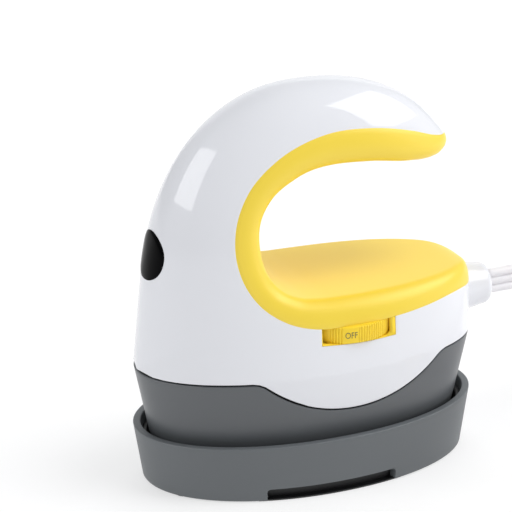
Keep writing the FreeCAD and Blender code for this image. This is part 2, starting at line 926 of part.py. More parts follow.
def cord_coil():
    ring = Part.makeCylinder(coil_outer, coil_height, V(coil_x, coil_y, 0))
    ring = ring.cut(Part.makeCylinder(coil_inner, coil_height, V(coil_x, coil_y, 0)))
    rims = [e for e in ring.Edges if e.Length > 100 and e.BoundBox.ZMin > coil_height - 0.1]
    ring = ring.makeFillet(coil_round, rims)
    room = cord_radius + coil_pocket_play
    ring = ring.cut(tube(cord_route, room))
    x, y, z = cord_route[-1]
    ring = ring.cut(box(x - room, x + 30, y, y + 60, -1, 20))
    return ring.cut(tube(end_route, room))


def plug():
    stub_end, stub_y, middle = end_route[-1]
    back = stub_end - relief_length
    front = back - plug_length
    body = box(front, back, stub_y - plug_width / 2, stub_y + plug_width / 2,
               middle - plug_height / 2, middle + plug_height / 2)
    body = body.makeFillet(plug_round, [e for e in body.Edges
                                        if abs(e.Length - plug_length) < 0.01])
    relief = Part.makeCone(relief_radius + 1.5, relief_radius, relief_length,
                           V(back, stub_y, middle), V(1, 0, 0))
    return join(body, [relief])


def plug_pins():
    stub_end, stub_y, middle = end_route[-1]
    front = stub_end - relief_length - plug_length
    pins = []
    for side in (-1, 1):
        y = stub_y + side * blade_spacing / 2
        pins.append(box(front - blade_length, front, y - blade_thickness / 2,
                        y + blade_thickness / 2, middle, middle + blade_width))
    pins.append(rod_x(ground_pin_radius, front - ground_pin_length, front, stub_y,
                      middle + blade_width / 2 - ground_pin_drop))
    return group(pins)


# ---- Rest ----
def rest_level(z, inset):
    share = (rest_top - z) / rest_top
    return oval(rest_middle, rest_length / 2 - inset - rest_end_draft * share,
                rest_width / 2 - inset - rest_side_draft * share, z, rest_fullness)


def rest_form(inset, low, high):
    return Part.makeLoft([rest_level(low, inset), rest_level(high, inset)], True, True)


def feet_places():
    foot_x = rest_length / 2 - foot_inset
    return [(rest_middle + sx * foot_x, sy * foot_y) for sx in (-1, 1) for sy in (-1, 1)]


def rest_shell():
    outside = rest_form(0.0, rest_floor_gap, rest_top)
    body = outside.cut(rest_form(rest_wall, rest_floor_gap, rest_top))
    rims = [e for e in body.Edges if e.BoundBox.ZMin > rest_top - 0.1
            and e.Length > rest_width / 2]
    body = body.makeFillet(0.8, rims)
    ribs = []
    for x, y in feet_places():
        rib = box(x - rib_length / 2, x + rib_length / 2, y - rib_width / 2,
                  y + rib_width / 2, rest_floor_gap, rest_floor_gap + rib_height)
        reach_x = rest_middle + math.copysign(rest_length / 2, x - rest_middle)
        bridge = box(min(x, reach_x), max(x, reach_x), y - rib_width / 2, y + rib_width / 2,
                     rest_floor_gap, rest_floor_gap + rib_height)
        ribs += [rib.common(outside), bridge.common(outside)]
    body = join(body, ribs)
    notch_x = rest_middle + notch_middle
    notch = box(notch_x - notch_width / 2, notch_x + notch_width / 2, -rest_width, rest_width,
                rest_floor_gap - rib_height, notch_height)
    corners = [e for e in notch.Edges if abs(e.Length - 2 * rest_width) < 0.1
               and e.CenterOfMass.z > notch_height - 0.1]
    notch = notch.makeFillet(notch_corner, corners)
    return body.cut(notch)


def rest_tray():
    body = rest_form(rest_wall + tray_clearance, tray_bottom, tray_top)
    inside = rest_form(rest_wall + tray_clearance + tray_wall, tray_bottom + tray_ledge,
                       tray_top + 0.01)
    middle, a, b = inner_skirt(skirt_bottom)
    margin = tray_hole_margin - plate_clearance
    hole = oval_plate(a + margin, b + margin, 0, 40, middle)
    return body.cut(inside).cut(hole)


def rest_feet():
    return group([rod(foot_radius, x, y, 0, rest_floor_gap) for x, y in feet_places()])


# ---- Build ----
outer_form = dome(0.0)
inner_form = dome(housing_wall)
save("rest_shell", rest_shell())
save("rest_tray", rest_tray())
save("rest_feet", rest_feet())
save("housing", housing(outer_form, inner_form))
save("skirt", skirt())
save("grip_liner", grip_liner())
save("wheel_bezel", bezel(outer_form))
save("thumbwheel", thumbwheel())
save("wheel_spindle", wheel_spindle())
save("level_switch", level_switch())
save("indicator_lens", lens())
save("light_guide", light_guide())
save("status_led", status_led())
save("led_board", led_board())
save("led_screws", led_screws())
save("led_wires", led_wires())
save("heat_plate", heat_plate())
save("mica_heater", mica_heater())
save("heater_clamp", heater_clamp())
save("felt_pad", felt_pad())
save("heat_shield", heat_shield())
save("thermal_fuse", thermal_fuse())
save("temperature_sensor", temperature_sensor())
save("case_screws", case_screws())
save("plate_screws", plate_screws())
save("heater_screws", heater_screws())
save("control_board", control_board())
save("heater_leads", heater_leads())
save("power_relay", relay())
save("filter_capacitor", capacitor())
save("terminal_block", terminal_block())
save("cord_bush", cord_bush())
save("cord_clamp", cord_clamp())
save("clamp_screws", clamp_screws())
save("cord_tail", cord_tail())
save("mains_leads", mains_leads())
save("cord_run", tube(cord_route, cord_radius))
save("cord_coil", cord_coil())
save("cord_end", tube(end_route, cord_radius))
save("plug", plug())
save("plug_pins", plug_pins())
print("cord bends", [round(b, 1) for b in bends])
print("tube length, and volume over section", [(round(a, 2), round(b, 2)) for a, b in lengths])
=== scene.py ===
# %% [markdown]
# # A mini heat press in its rest
#
# The press is a small iron for pressing prints onto cloth.  Its white housing
# curls over an open grip, a yellow liner covers the deck and the inside of the
# grip, and a grey skirt holds the hot plate.  It stands in an oval rest.  The
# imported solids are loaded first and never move.  Every new piece below is
# worked out in millimetres and put into its mesh in metres, in the same frame.

import math

import bmesh
import bpy
import numpy as np
from mathutils import Matrix


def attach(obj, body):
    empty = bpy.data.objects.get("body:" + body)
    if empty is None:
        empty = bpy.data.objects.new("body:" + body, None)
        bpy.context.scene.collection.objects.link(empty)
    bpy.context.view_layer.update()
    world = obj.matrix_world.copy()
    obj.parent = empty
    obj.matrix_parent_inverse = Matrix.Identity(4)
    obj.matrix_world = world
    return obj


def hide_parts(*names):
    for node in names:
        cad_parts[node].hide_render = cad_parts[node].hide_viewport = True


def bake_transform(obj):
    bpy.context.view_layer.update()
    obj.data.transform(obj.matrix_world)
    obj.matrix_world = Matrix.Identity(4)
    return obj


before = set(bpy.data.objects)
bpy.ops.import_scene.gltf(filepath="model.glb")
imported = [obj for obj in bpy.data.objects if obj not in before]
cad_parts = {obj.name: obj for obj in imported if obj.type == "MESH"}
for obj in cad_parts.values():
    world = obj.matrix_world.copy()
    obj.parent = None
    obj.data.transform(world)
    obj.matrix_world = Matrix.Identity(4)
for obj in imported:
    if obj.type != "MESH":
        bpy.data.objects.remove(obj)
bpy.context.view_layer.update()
MM = 0.001

# %% [markdown]
# ## Camera
#
# A long lens from about a metre away, a little above the press and turned
# towards its front, with a trace of roll.  The camera's matrix is written from
# three directions: to the right, up, and back towards the eye.

# %% Camera
AZIMUTH, ELEVATION, ROLL = (math.radians(a) for a in (-23.5, 21.0, -0.3))
SENSOR = 36.0  # millimetres, for 512 points of picture
FOCAL = 3000 / 512 * SENSOR
DISTANCE = 1.07527
AIM = np.array([-0.0182, 0.0, 0.08085])


def new_object(name, data):
    """Puts an object with its data into the scene."""
    holder = bpy.data.objects.new(name, data)
    bpy.context.scene.collection.objects.link(holder)
    return holder


def set_pose(holder, directions, place):
    """Stands an object at a place, with its x, y and z axes along three directions."""
    pose = np.eye(4)
    pose[:3, :3] = np.stack(directions, axis=1)
    pose[:3, 3] = place
    holder.matrix_world = Matrix(pose.tolist())


back = np.array([math.sin(AZIMUTH) * math.cos(ELEVATION),
                 -math.cos(AZIMUTH) * math.cos(ELEVATION), math.sin(ELEVATION)])
right = np.array([math.cos(AZIMUTH), math.sin(AZIMUTH), 0.0])
up = np.cross(back, right)
right, up = (math.cos(ROLL) * right + math.sin(ROLL) * up,
             math.cos(ROLL) * up - math.sin(ROLL) * right)

camera_data = bpy.data.cameras.new("camera")
camera_data.lens, camera_data.sensor_width = FOCAL, SENSOR
camera_data.clip_start, camera_data.clip_end = 0.05, 50.0
camera = new_object("camera", camera_data)
set_pose(camera, (right, up, back), AIM + back * DISTANCE)
bpy.context.scene.camera = camera
print("camera at", (AIM + back * DISTANCE).round(3))

# %% [markdown]
# ## Putting a grid of points into a mesh
#
# Nearly every piece here is a grid: rows run along it and columns run around
# it.  `grid_faces` joins neighbours into four-cornered faces, and `make_piece`
# writes points and faces, merges points that fall together at a pole or a
# seam, turns all faces outwards and smooths them.

# %% Grid helpers
MERGE = 0.004 * MM  # points nearer than this become one


def grid_faces(rows, columns, around=False):
    """Faces (i, j), (i, j+1), (i+1, j+1), (i+1, j); around joins the last column to the first."""
    i, j = np.meshgrid(np.arange(rows - 1), np.arange(columns if around else columns - 1),
                       indexing="ij")
    k = (j + 1) % columns
    return np.stack([i * columns + j, i * columns + k, (i + 1) * columns + k,
                     (i + 1) * columns + j], axis=-1).reshape(-1, 4)


def cap_faces(first, columns, centre):
    """A fan of triangles from one row of points to a centre point."""
    j = np.arange(columns)
    return np.stack([first + j, first + (j + 1) % columns, np.full(columns, centre)], axis=-1)


def make_piece(name, points, faces, material, body=None, smooth=True):
    """A mesh object in metres from points in millimetres and lists of faces."""
    mesh = bpy.data.meshes.new(name)
    points = np.concatenate([np.reshape(p, (-1, 3)) for p in points]) * MM
    faces = [f for part in faces for f in np.asarray(part).tolist()]
    mesh.from_pydata(points.tolist(), [], faces)
    work = bmesh.new()
    work.from_mesh(mesh)
    bmesh.ops.remove_doubles(work, verts=work.verts, dist=MERGE)
    bmesh.ops.dissolve_degenerate(work, edges=work.edges, dist=MERGE)
    bmesh.ops.recalc_face_normals(work, faces=work.faces)
    work.to_mesh(mesh)
    work.free()
    mesh.polygons.foreach_set("use_smooth", np.full(len(mesh.polygons), smooth))
    mesh.materials.append(material)
    piece = new_object(name, mesh)
    if body:
        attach(piece, body)
    print(name, len(mesh.vertices), "points", len(mesh.polygons), "faces")
    return piece


def grid_piece(name, grid, material, body=None, around=True, smooth=True):
    """A piece from one grid of points, each row of which is a ring if around."""
    faces = grid_faces(*grid.shape[:2], around)
    return make_piece(name, [grid], [faces], material, body, smooth)


def capped_piece(name, rings, ends, material, body=None):
    """A piece from rings of points, with a fan to a centre point at both ends."""
    rows, columns = rings.shape[:2]
    count = rows * columns
    faces = [grid_faces(rows, columns, True), cap_faces(0, columns, count),
             cap_faces(count - columns, columns, count + 1)]
    return make_piece(name, [rings, ends], faces, material, body)


def add_wall(piece, thickness):
    """Gives an open surface a wall on its inner side."""
    wall = piece.modifiers.new("wall", "SOLIDIFY")
    wall.thickness, wall.offset = thickness * MM, -1.0
    wall.use_even_offset, wall.use_quality_normals = True, True


def round_edges(piece, width, angle=50.0):
    """Rounds the edges where faces meet at more than an angle."""
    bevel = piece.modifiers.new("rounding", "BEVEL")
    bevel.width, bevel.segments = width * MM, 2
    bevel.limit_method, bevel.angle_limit = "ANGLE", math.radians(angle)


print("points nearer than", MERGE, "m are merged")

# %% Lines and rings
def mix(first, last, share):
    """The value at a share of the way from the first to the last."""
    return first * (1 - share) + last * share


def smooth_step(value, start, end):
    """0 before start, 1 after end, and a smooth rise between."""
    t = np.clip((value - start) / (end - start), 0, 1)
    return t * t * (3 - 2 * t)


def gone_along(line):
    """The distance from the start of a line at each of its points."""
    return np.concatenate([[0], np.cumsum(np.linalg.norm(np.diff(line, axis=0), axis=1))])


def share_at(line, point):
    """The share of a line's length at its point nearest to a given one."""
    gone = gone_along(line)
    return gone[np.argmin(np.linalg.norm(line - point, axis=1))] / gone[-1]


def resample(line, shares):
    """Points at shares of a line's length, which is measured over its first three columns."""
    gone = gone_along(line[:, :3])
    return np.stack([np.interp(shares * gone[-1], gone, line[:, k])
                     for k in range(line.shape[1])], axis=1)


def points_at(x, y, z):
    """Points from three coordinates, of which each is a number or an array."""
    return np.stack(np.broadcast_arrays(x, y, z), axis=-1)


def on_circle(centre, radius, turn, z):
    """Points at a radius and an angle round an upright axis."""
    return points_at(centre[0] + radius * np.cos(turn), centre[1] + radius * np.sin(turn), z)


def full_turn(steps):
    """The angles of even steps round a full turn, from 0."""
    return np.linspace(0, 2 * math.pi, steps + 1)[:-1]


def folded(turn):
    """Angles beyond pi brought back to their mirror angles."""
    return np.where(turn > math.pi, 2 * math.pi - turn, turn)


def super_circle(turn, n):
    """A unit circle's x and y for n = 2, and squarer with a higher n."""
    c, s = np.cos(turn), np.sin(turn)
    k = (np.abs(c) ** n + np.abs(s) ** n) ** (-1 / n)
    return c * k, s * k


print("with n = 3 a squared circle's corner is at", super_circle(math.pi / 4, 3)[0].round(3))

# %% [markdown]
# ## Finishes
#
# Moulded plastic is never perfectly even: it has a faint waviness, tiny specks
# in its gloss, and a colour that drifts by a percent or two.  One helper makes
# all the plastics from noise on Object coordinates, so that the pattern stays
# in place when a piece moves.  Numbers that are the same everywhere are set on
# the shader's own sockets.

# %% Shader helpers
def new_material(name):
    """A new material, its shader, and the Object coordinates for its patterns."""
    material = bpy.data.materials.new(name)
    material.use_nodes = True
    nodes = material.node_tree.nodes
    return material, nodes["Principled BSDF"], nodes.new("ShaderNodeTexCoord").outputs["Object"]


def set_inputs(node, values):
    """Sets a node's sockets, or links them where the value is another node's output."""
    for socket, value in values.items():
        if isinstance(value, bpy.types.NodeSocket):
            node.id_data.links.new(value, node.inputs[socket])
        else:
            node.inputs[socket].default_value = value


def add_node(near, kind, values):
    """A new node, in the tree of a node or a socket, with its sockets set."""
    node = near.id_data.nodes.new("ShaderNode" + kind)
    set_inputs(node, values)
    return node


def noise(place, scale, detail=3.0, stretch=None):
    """A noise texture of so many lumps per metre, stretched along an axis if asked."""
    if stretch:
        place = add_node(place, "Mapping", {"Vector": place, "Scale": stretch}).outputs["Vector"]
    sockets = {"Vector": place, "Scale": scale, "Detail": detail}
    return add_node(place, "TexNoise", sockets).outputs["Fac"]


def spread(value, low, high, start=0.3, end=0.7):
    """Maps a noise smoothly to a range of values."""
    node = add_node(value, "MapRange", {"Value": value, "From Min": start, "From Max": end,
                                        "To Min": low, "To Max": high})
    node.interpolation_type = "SMOOTHSTEP"
    return node.outputs["Result"]


def mix_colours(share, first, second):
    """A colour between two colours, or two colour outputs, by a share."""
    node = add_node(share, "Mix", {"Factor": share})
    node.data_type = "RGBA"
    set_inputs(node, {6: first, 7: second})  # the places of its two colours
    return node.outputs[2]


def bumps(shader, *layers):
    """Adds one bump after another: (height, strength, distance in millimetres)."""
    normal = {}
    for height, strength, distance in layers:
        node = add_node(height, "Bump", {"Height": height, "Strength": strength,
                                         "Distance": distance * MM, **normal})
        normal = {"Normal": node.outputs["Normal"]}
    set_inputs(shader, normal)


def srgb(*levels):
    """Screen levels from 0 to 255 as linear light, with full cover."""
    return *(c / 255 / 12.92 if c <= 10.3 else ((c / 255 + 0.055) / 1.055) ** 2.4
             for c in levels), 1.0


def shade(colour, share):
    """A colour made darker or lighter by a share."""
    return *(min(c * share, 1.0) for c in colour[:3]), 1.0


print("the shader's light grey of 200 is", [round(c, 3) for c in srgb(200, 200, 200)])

# %% Plastic finishes
GRAIN = 2500.0  # grains per metre on etched plastic


def plastic(name, colour, rough, drift=0.03, grain=0.0, coat=0.0, specular=0.5):
    """Moulded plastic: drifting colour, uneven gloss, faint waves, and grain if it was etched."""
    material, shader, place = new_material(name)
    slow, fine = noise(place, 22.0, 2.0), noise(place, 60.0, 1.0)
    drifting = mix_colours(spread(slow, 0, 1), shade(colour, 1 - drift), shade(colour, 1 + drift))
    layers = [(noise(place, 14.0, 1.0), 0.1, 0.03)]
    if grain:
        layers.append((noise(place, GRAIN, 2.0), grain, 0.06))
    bumps(shader, *layers)
    set_inputs(shader, {
        "Base Color": drifting, "Roughness": spread(fine, rough * 0.99, rough * 1.01),
        "Coat Weight": coat, "Coat Roughness": 0.05, "Specular IOR Level": specular})
    return material


white_plastic = plastic("white_plastic", srgb(229, 230, 235), 0.45, drift=0.002, coat=1.0,
                        specular=0.2)
yellow_plastic = plastic("yellow_plastic", srgb(242, 212, 70), 0.33, drift=0.004)
grey_plastic = plastic("grey_plastic", srgb(92, 95, 98), 0.36, drift=0.01, grain=0.2)
rest_plastic = plastic("rest_plastic", srgb(98, 102, 105), 0.48, drift=0.01, grain=0.2)
black_plastic = plastic("black_plastic", srgb(22, 23, 25), 0.42, drift=0.05, grain=0.1)
cord_plastic = plastic("cord_plastic", srgb(236, 234, 237), 0.42, drift=0.01, grain=0.1)
# painted shade: the near-black of the ring in the seam's gap
seam_shade_black = plastic("seam_shade_black", srgb(9, 9, 10), 0.8, specular=0.2)
lens_plastic = plastic("lens_plastic", srgb(3, 3, 4), 0.05, specular=0.05)
wheel_plastic = plastic("wheel_plastic", srgb(250, 215, 52), 0.4, drift=0.004, specular=0.4)
print("plastics ready")

# %% [markdown]
# ## The outer form as a formula
#
# Every level of the press is an oval, and its front, rear and half width follow
# superellipses from the shoulder to the top.  With this formula any point of
# the outside can be worked out from where it is seen from the side, which is
# how the housing, the liner and the lens fit each other without a gap.

# %% Outer form
PRESS_TOP, SHOULDER, CROWN_X = 145.0, 45.0, -2.5
FRONT = (60.0, 2.05, 2.85)  # size, p and q of each superellipse
REAR = (67.2, 2.30, 3.75)
SIDE = (34.3, 2.35, 1.10)
FULLNESS = 2.3
SKIRT_BOTTOM = 6.0
SKIRT_DRAFTS = (8.0, 8.6, 5.2)  # front, rear, side
FLARE, FLARE_TOP = 2.3, 90.0  # the front spreads towards the shoulder
NOSE_FULL, NOSE_HEIGHT, NOSE_SPREAD = 0.8, 118.0, 5.0  # the nose is a little fuller
ROUNDER, ROUND_LEVELS = 0.25, (100.0, 60.0)  # the front's oval rounds downwards


def reach(u, size, p, q):
    """size * (1 - u^q)^(1/p), with u kept between 0 and 1."""
    return size * (1 - np.clip(u, 0, 1) ** q) ** (1 / p)


def outline(z):
    """Front x, rear x and half width of the press at a level."""
    z = np.asarray(z, float)
    u = (z - SHOULDER) / (PRESS_TOP - SHOULDER)
    low = np.clip((SHOULDER - z) / (SHOULDER - SKIRT_BOTTOM), 0, 1)
    flare = FLARE * np.clip((FLARE_TOP - z) / (FLARE_TOP - SHOULDER), 0, 1) ** 2
    nose = NOSE_FULL * np.exp(-(((z - NOSE_HEIGHT) / NOSE_SPREAD) ** 2))
    return (CROWN_X - reach(u, *FRONT) - flare + SKIRT_DRAFTS[0] * low,
            CROWN_X + reach(u, *REAR) + nose - SKIRT_DRAFTS[1] * low,
            reach(u, *SIDE) - SKIRT_DRAFTS[2] * low)


def fullness_at(to_rear, z):
    """The oval's exponent: lower in front, where the lower body is rounder."""
    return np.where(to_rear, FULLNESS, FULLNESS - ROUNDER * smooth_step(z, *ROUND_LEVELS))


def half_width_at(x, z):
    """Distance of the outside from the middle plane at (x, z)."""
    front, rear, side = outline(z)
    share = (x - (front + rear) / 2) / np.maximum((rear - front) / 2, 1e-9)
    n = fullness_at(share > 0, z)
    return side * (1 - np.clip(np.abs(share), 0, 1) ** n) ** (1 / n)


def turn_at(x, z):
    """The angle round the oval, 0 at the rear and pi at the front, of a point (x, z)."""
    front, rear, _ = outline(z)
    share = np.clip((x - (front + rear) / 2) / ((rear - front) / 2), -1, 1)
    return np.arccos(np.sign(share) * np.abs(share) ** (fullness_at(share > 0, z) / 2))


def x_at(turn, z):
    """The x of the point at an angle round the oval at a level."""
    front, rear, _ = outline(z)
    c = np.cos(turn)
    return ((front + rear) / 2
            + (rear - front) / 2 * np.sign(c) * np.abs(c) ** (2 / fullness_at(c > 0, z)))


DIP_MIDDLE, DIP_RADIUS, DIP_BOTTOM, DIP_FILLET = 6.6, 53.0, 30.6, 8.0


def seam_height(x):
    """The wavy seam between housing and skirt: an arc's dip with rounded shoulders."""
    x = np.asarray(x, float)
    centre_z = DIP_BOTTOM + DIP_RADIUS
    away = np.abs(x - DIP_MIDDLE)
    fillet_z = SHOULDER - DIP_FILLET
    fillet_x = math.sqrt((DIP_RADIUS + DIP_FILLET) ** 2 - (centre_z - fillet_z) ** 2)
    touch_x = fillet_x * DIP_RADIUS / (DIP_RADIUS + DIP_FILLET)
    arc = centre_z - np.sqrt(np.maximum(DIP_RADIUS**2 - away**2, 0))
    shoulder = fillet_z + np.sqrt(np.maximum(DIP_FILLET**2 - (away - fillet_x) ** 2, 0))
    return np.where(away < touch_x, arc, np.where(away < fillet_x, shoulder, SHOULDER))


def seam_level(turn, gap=0.0):
    """The seam's level less a gap at an angle round the oval, found in four rounds."""
    z = np.full(turn.shape, 40.0)
    for _ in range(4):
        z = seam_height(x_at(turn, z)) - gap
    return z


REAR_TIP = (float(outline(62.3)[1]), 62.3)
NOSE_TIP = (float(outline(119.0)[1]), 119.0)
LINER_PAIRS = np.array([  # the seam on the outside, the face in the gap
    (REAR_TIP, (64.5, 70.3)), ((63.6, 62.4), (63.4, 70.4)), ((60.4, 62.8), (60.2, 70.6)),
    ((55.0, 63.7), (54.8, 70.8)), ((48.0, 63.9), (47.8, 70.9)), ((39.5, 63.3), (39.4, 71.0)),
    ((23.0, 62.25), (23.0, 71.1)), ((2.8, 62.0), (4.5, 71.3)), ((-8.5, 62.6), (-4.0, 71.6)),
    ((-18.6, 65.7), (-12.0, 72.8)), ((-28.2, 72.7), (-19.3, 76.8)), ((-33.2, 80.5), (-23.0, 82.8)),
    ((-35.6, 90.0), (-24.7, 90.5)), ((-34.8, 100.4), (-24.1, 99.2)),
    ((-29.0, 112.6), (-18.9, 107.9)), ((-17.9, 122.2), (-9.9, 113.5)),
    ((2.0, 129.0), (3.4, 116.5)), ((21.0, 128.5), (20.5, 115.6)), ((37.0, 124.7), (36.0, 113.0)),
    ((47.0, 121.0), (46.4, 112.1)), ((51.0, 119.8), (51.5, 112.4)),
    ((53.3, 119.3), (54.3, 113.2)), (NOSE_TIP, (56.8, 115.0)),
])


def paired_lines(pairs, count):
    """Smooth lines through both points of each pair, at the same steps, which crowd at the ends."""
    knots = gone_along(pairs[:, 0])
    t = np.linspace(0, 1, count)
    t = (t - np.sin(2 * math.pi * t) / (2 * math.pi)) * knots[-1]
    i = np.clip(np.searchsorted(knots, t, side="right") - 1, 0, len(knots) - 2)
    h = (knots[i + 1] - knots[i])[:, None]
    u = ((t - knots[i]) / h[:, 0])[:, None]
    lines = []
    for points in (pairs[:, 0], pairs[:, 1]):
        slope = np.gradient(points, knots, axis=0)
        lines.append((2 * u**3 - 3 * u**2 + 1) * points[i] + (u**3 - 2 * u**2 + u) * h * slope[i]
                     + (3 * u**2 - 2 * u**3) * points[i + 1] + (u**3 - u**2) * h * slope[i + 1])
    return lines


seam_line, gap_line = paired_lines(LINER_PAIRS, 3000)
print("seam from", REAR_TIP, "to", NOSE_TIP)

# %% [markdown]
# ## The white housing
#
# Seen from the side the housing is a C-shaped region: its inner edge is the
# seam of the yellow liner and its outer edge runs down the rear, along the
# wavy seam, up the front and over the top to the nose.  Columns of points run
# from the inner edge to the outer one.  Over the body they follow the oval's
# angle, and over the grip they crowd towards the ridge, where the surface
# turns flat on to the side.  The wheel's window is left out of the near half.

# %% Housing
WINDOW = (-7.1, 22.5)  # left and right
WINDOW_SILL = ((-7.1, 0.0, 7.7, 15.0, 22.5), (56.2, 55.7, 55.3, 55.3, 55.5))
WINDOW_LEVEL, DECK_END = 58.0, -12.0  # a level in the window, the deck's front x
BODY_ROWS, WINDOW_ROWS = 46, 12
REAR_COLUMNS, WINDOW_COLUMNS, FRONT_COLUMNS = 46, 27, 6
NOSE_CROWD = 2.4  # how the columns crowd at the nose
UPRIGHT, SIDE_ON = 62, 104  # levels between which the columns turn to the side view


def housing_columns():
    """Inner and outer end of each column, and how many columns are on the body."""
    deck = seam_line[: int(np.argmax(seam_line[:, 0] < DECK_END))]
    deck_turn = turn_at(deck[:, 0], deck[:, 1])
    deck_turn[0] = 0.0
    edges = [float(turn_at(x, WINDOW_LEVEL)) for x in (WINDOW[1], WINDOW[0])]
    turns = np.concatenate([np.linspace(0, edges[0], REAR_COLUMNS)[:-1],
                            np.linspace(*edges, WINDOW_COLUMNS)[:-1],
                            np.linspace(edges[1], deck_turn[-1], FRONT_COLUMNS)])
    inner = np.stack([np.interp(turns, deck_turn, deck[:, k]) for k in (0, 1)], axis=1)
    z = seam_level(turns)
    outer = np.column_stack([x_at(turns, z), z])
    rest = seam_line[len(deck) - 1:]
    bottom_turn = np.linspace(turns[-1], math.pi, 200)
    bottom_z = seam_height(x_at(bottom_turn, SHOULDER))
    climb = np.linspace(0, math.pi, 900)[1:]
    rise = SHOULDER + (PRESS_TOP - SHOULDER) * np.sin(climb)
    falling = (climb > math.pi / 2) & (rise > NOSE_TIP[1])
    going_up = climb <= math.pi / 2
    outer_rest = np.concatenate([
        np.column_stack([x_at(bottom_turn, bottom_z), bottom_z]),
        np.column_stack([outline(rise[going_up])[0], rise[going_up]]),
        np.column_stack([outline(rise[falling])[1], rise[falling]]), [NOSE_TIP]])

    corner = (float(outline(SHOULDER)[0]), SHOULDER)
    anchors = [  # on the inner edge, on the outer edge, columns before
        ((-24.0, 68.6), corner, 24), ((-35.6, 90.0), (-59.7, 88.0), 36),
        ((-29.0, 112.6), (-48.0, 119.5), 26), ((-17.9, 122.2), (-31.0, 137.0), 22),
        ((2.0, 129.0), (4.0, 144.8), 28), ((37.0, 124.7), (42.0, 138.0), 34),
        (NOSE_TIP, NOSE_TIP, 44)]
    here, shares = np.zeros(2), []
    for inner_point, outer_point, count in anchors:
        there = np.array([share_at(rest, inner_point), share_at(outer_rest, outer_point)])
        steps = np.linspace(0, 1, count + 1)[1:, None]
        if inner_point is NOSE_TIP:
            steps = 1 - (1 - steps) ** NOSE_CROWD
        shares.append(here + (there - here) * steps)
        here = there
    inner_share, outer_share = np.concatenate(shares).T
    return (np.concatenate([inner, resample(rest, inner_share)]),
            np.concatenate([outer, resample(outer_rest, outer_share)]), len(turns))


def housing_half():
    """(x, z) of the grid, then y from the formula: one half of the housing's outside."""
    inner, outer, body_columns = housing_columns()
    count = len(inner)
    sill = np.interp(inner[:body_columns, 0], *WINDOW_SILL)
    window_share = np.zeros(count)
    window_share[:body_columns] = ((inner[:body_columns, 1] - sill)
                                   / (inner[:body_columns, 1] - outer[:body_columns, 1]))
    window_share[body_columns:] = window_share[body_columns - 1]
    rows = np.arange(BODY_ROWS + 1)
    above = window_share[:, None] * np.minimum(rows / WINDOW_ROWS, 1)
    below = (1 - window_share[:, None]) * np.clip((rows - WINDOW_ROWS) / (BODY_ROWS - WINDOW_ROWS),
                                                  0, 1)
    t = above + below
    on_ridge = np.abs(half_width_at(outer[:, 0], outer[:, 1])) < 1.5
    outer_turn = turn_at(outer[:, 0], outer[:, 1])
    fan = np.arange(count) >= body_columns
    outer_turn[fan & on_ridge & (outer[:, 0] < CROWN_X)] = math.pi
    outer_turn[fan & on_ridge & (outer[:, 0] >= CROWN_X)] = 0.0
    inner_turn = turn_at(inner[:, 0], inner[:, 1])
    inner_turn[0] = outer_turn[0] = 0.0
    z1 = mix(inner[:, 1:], outer[:, 1:], t)
    x1 = x_at(mix(inner_turn[:, None], outer_turn[:, None], t), z1)
    crowd = 1 - (1 - t) ** FULLNESS
    x2, z2 = (mix(inner[:, k, None], outer[:, k, None], crowd) for k in (0, 1))
    weight = smooth_step(outer[:, 1], UPRIGHT, SIDE_ON)
    past = np.arange(count) >= np.argmax(outer[:, 1])
    weight = np.where(fan, np.where(past, 1.0, weight), 0.0)[:, None]
    x, z = mix(x1, x2, weight), mix(z1, z2, weight)
    y = half_width_at(x, z)
    y[0] = 0.0
    y[fan & on_ridge, -1] = 0.0
    y[-1] = 0.0
    return points_at(x, -y, z), body_columns


near, body_columns = housing_half()
rows = near.shape[1]
faces = grid_faces(len(near), rows)
column, row = faces[:, 0] // rows, faces[:, 0] % rows
middle_x = near.reshape(-1, 3)[faces].mean(axis=1)[:, 0]
in_window = ((column < body_columns) & (row < WINDOW_ROWS)
             & (middle_x > WINDOW[0]) & (middle_x < WINDOW[1]))
far = near * [1, -1, 1]
housing = make_piece("housing_shell", [near, far],
                     [faces[~in_window], faces + near[..., 0].size], white_plastic, "press")
add_wall(housing, 2.0)
round_edges(housing, 0.28)
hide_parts("housing")

# %% [markdown]
# ## The yellow liner
#
# One part covers the deck, the inside of the column and the underside of the
# grip.  Across it the surface starts at the seam, carries the housing's side
# on for a little, and rounds over into the broad inner face.  Along it this
# section is carried from the rear of the deck to the nose, and at both ends
# its depth shrinks to nothing along a quarter oval, which closes the form.

# %% Liner
LINER_ROWS, SIDE_STEPS, FACE_STEPS = 320, 16, 12
ROUNDING, DECK_ROUNDING = 8.0, 5.5  # between side and face: in the grip, on the deck
DECK_LEVEL, DECK_BLEND = 80.0, 12.0  # the deck's section begins below this, over this height
DISH = 0.3  # how hollow the face is in the grip
REAR_CLOSE, NOSE_CLOSE = (10.0, 0.5), (7.0, 0.34)  # each quarter oval's length, tip's share


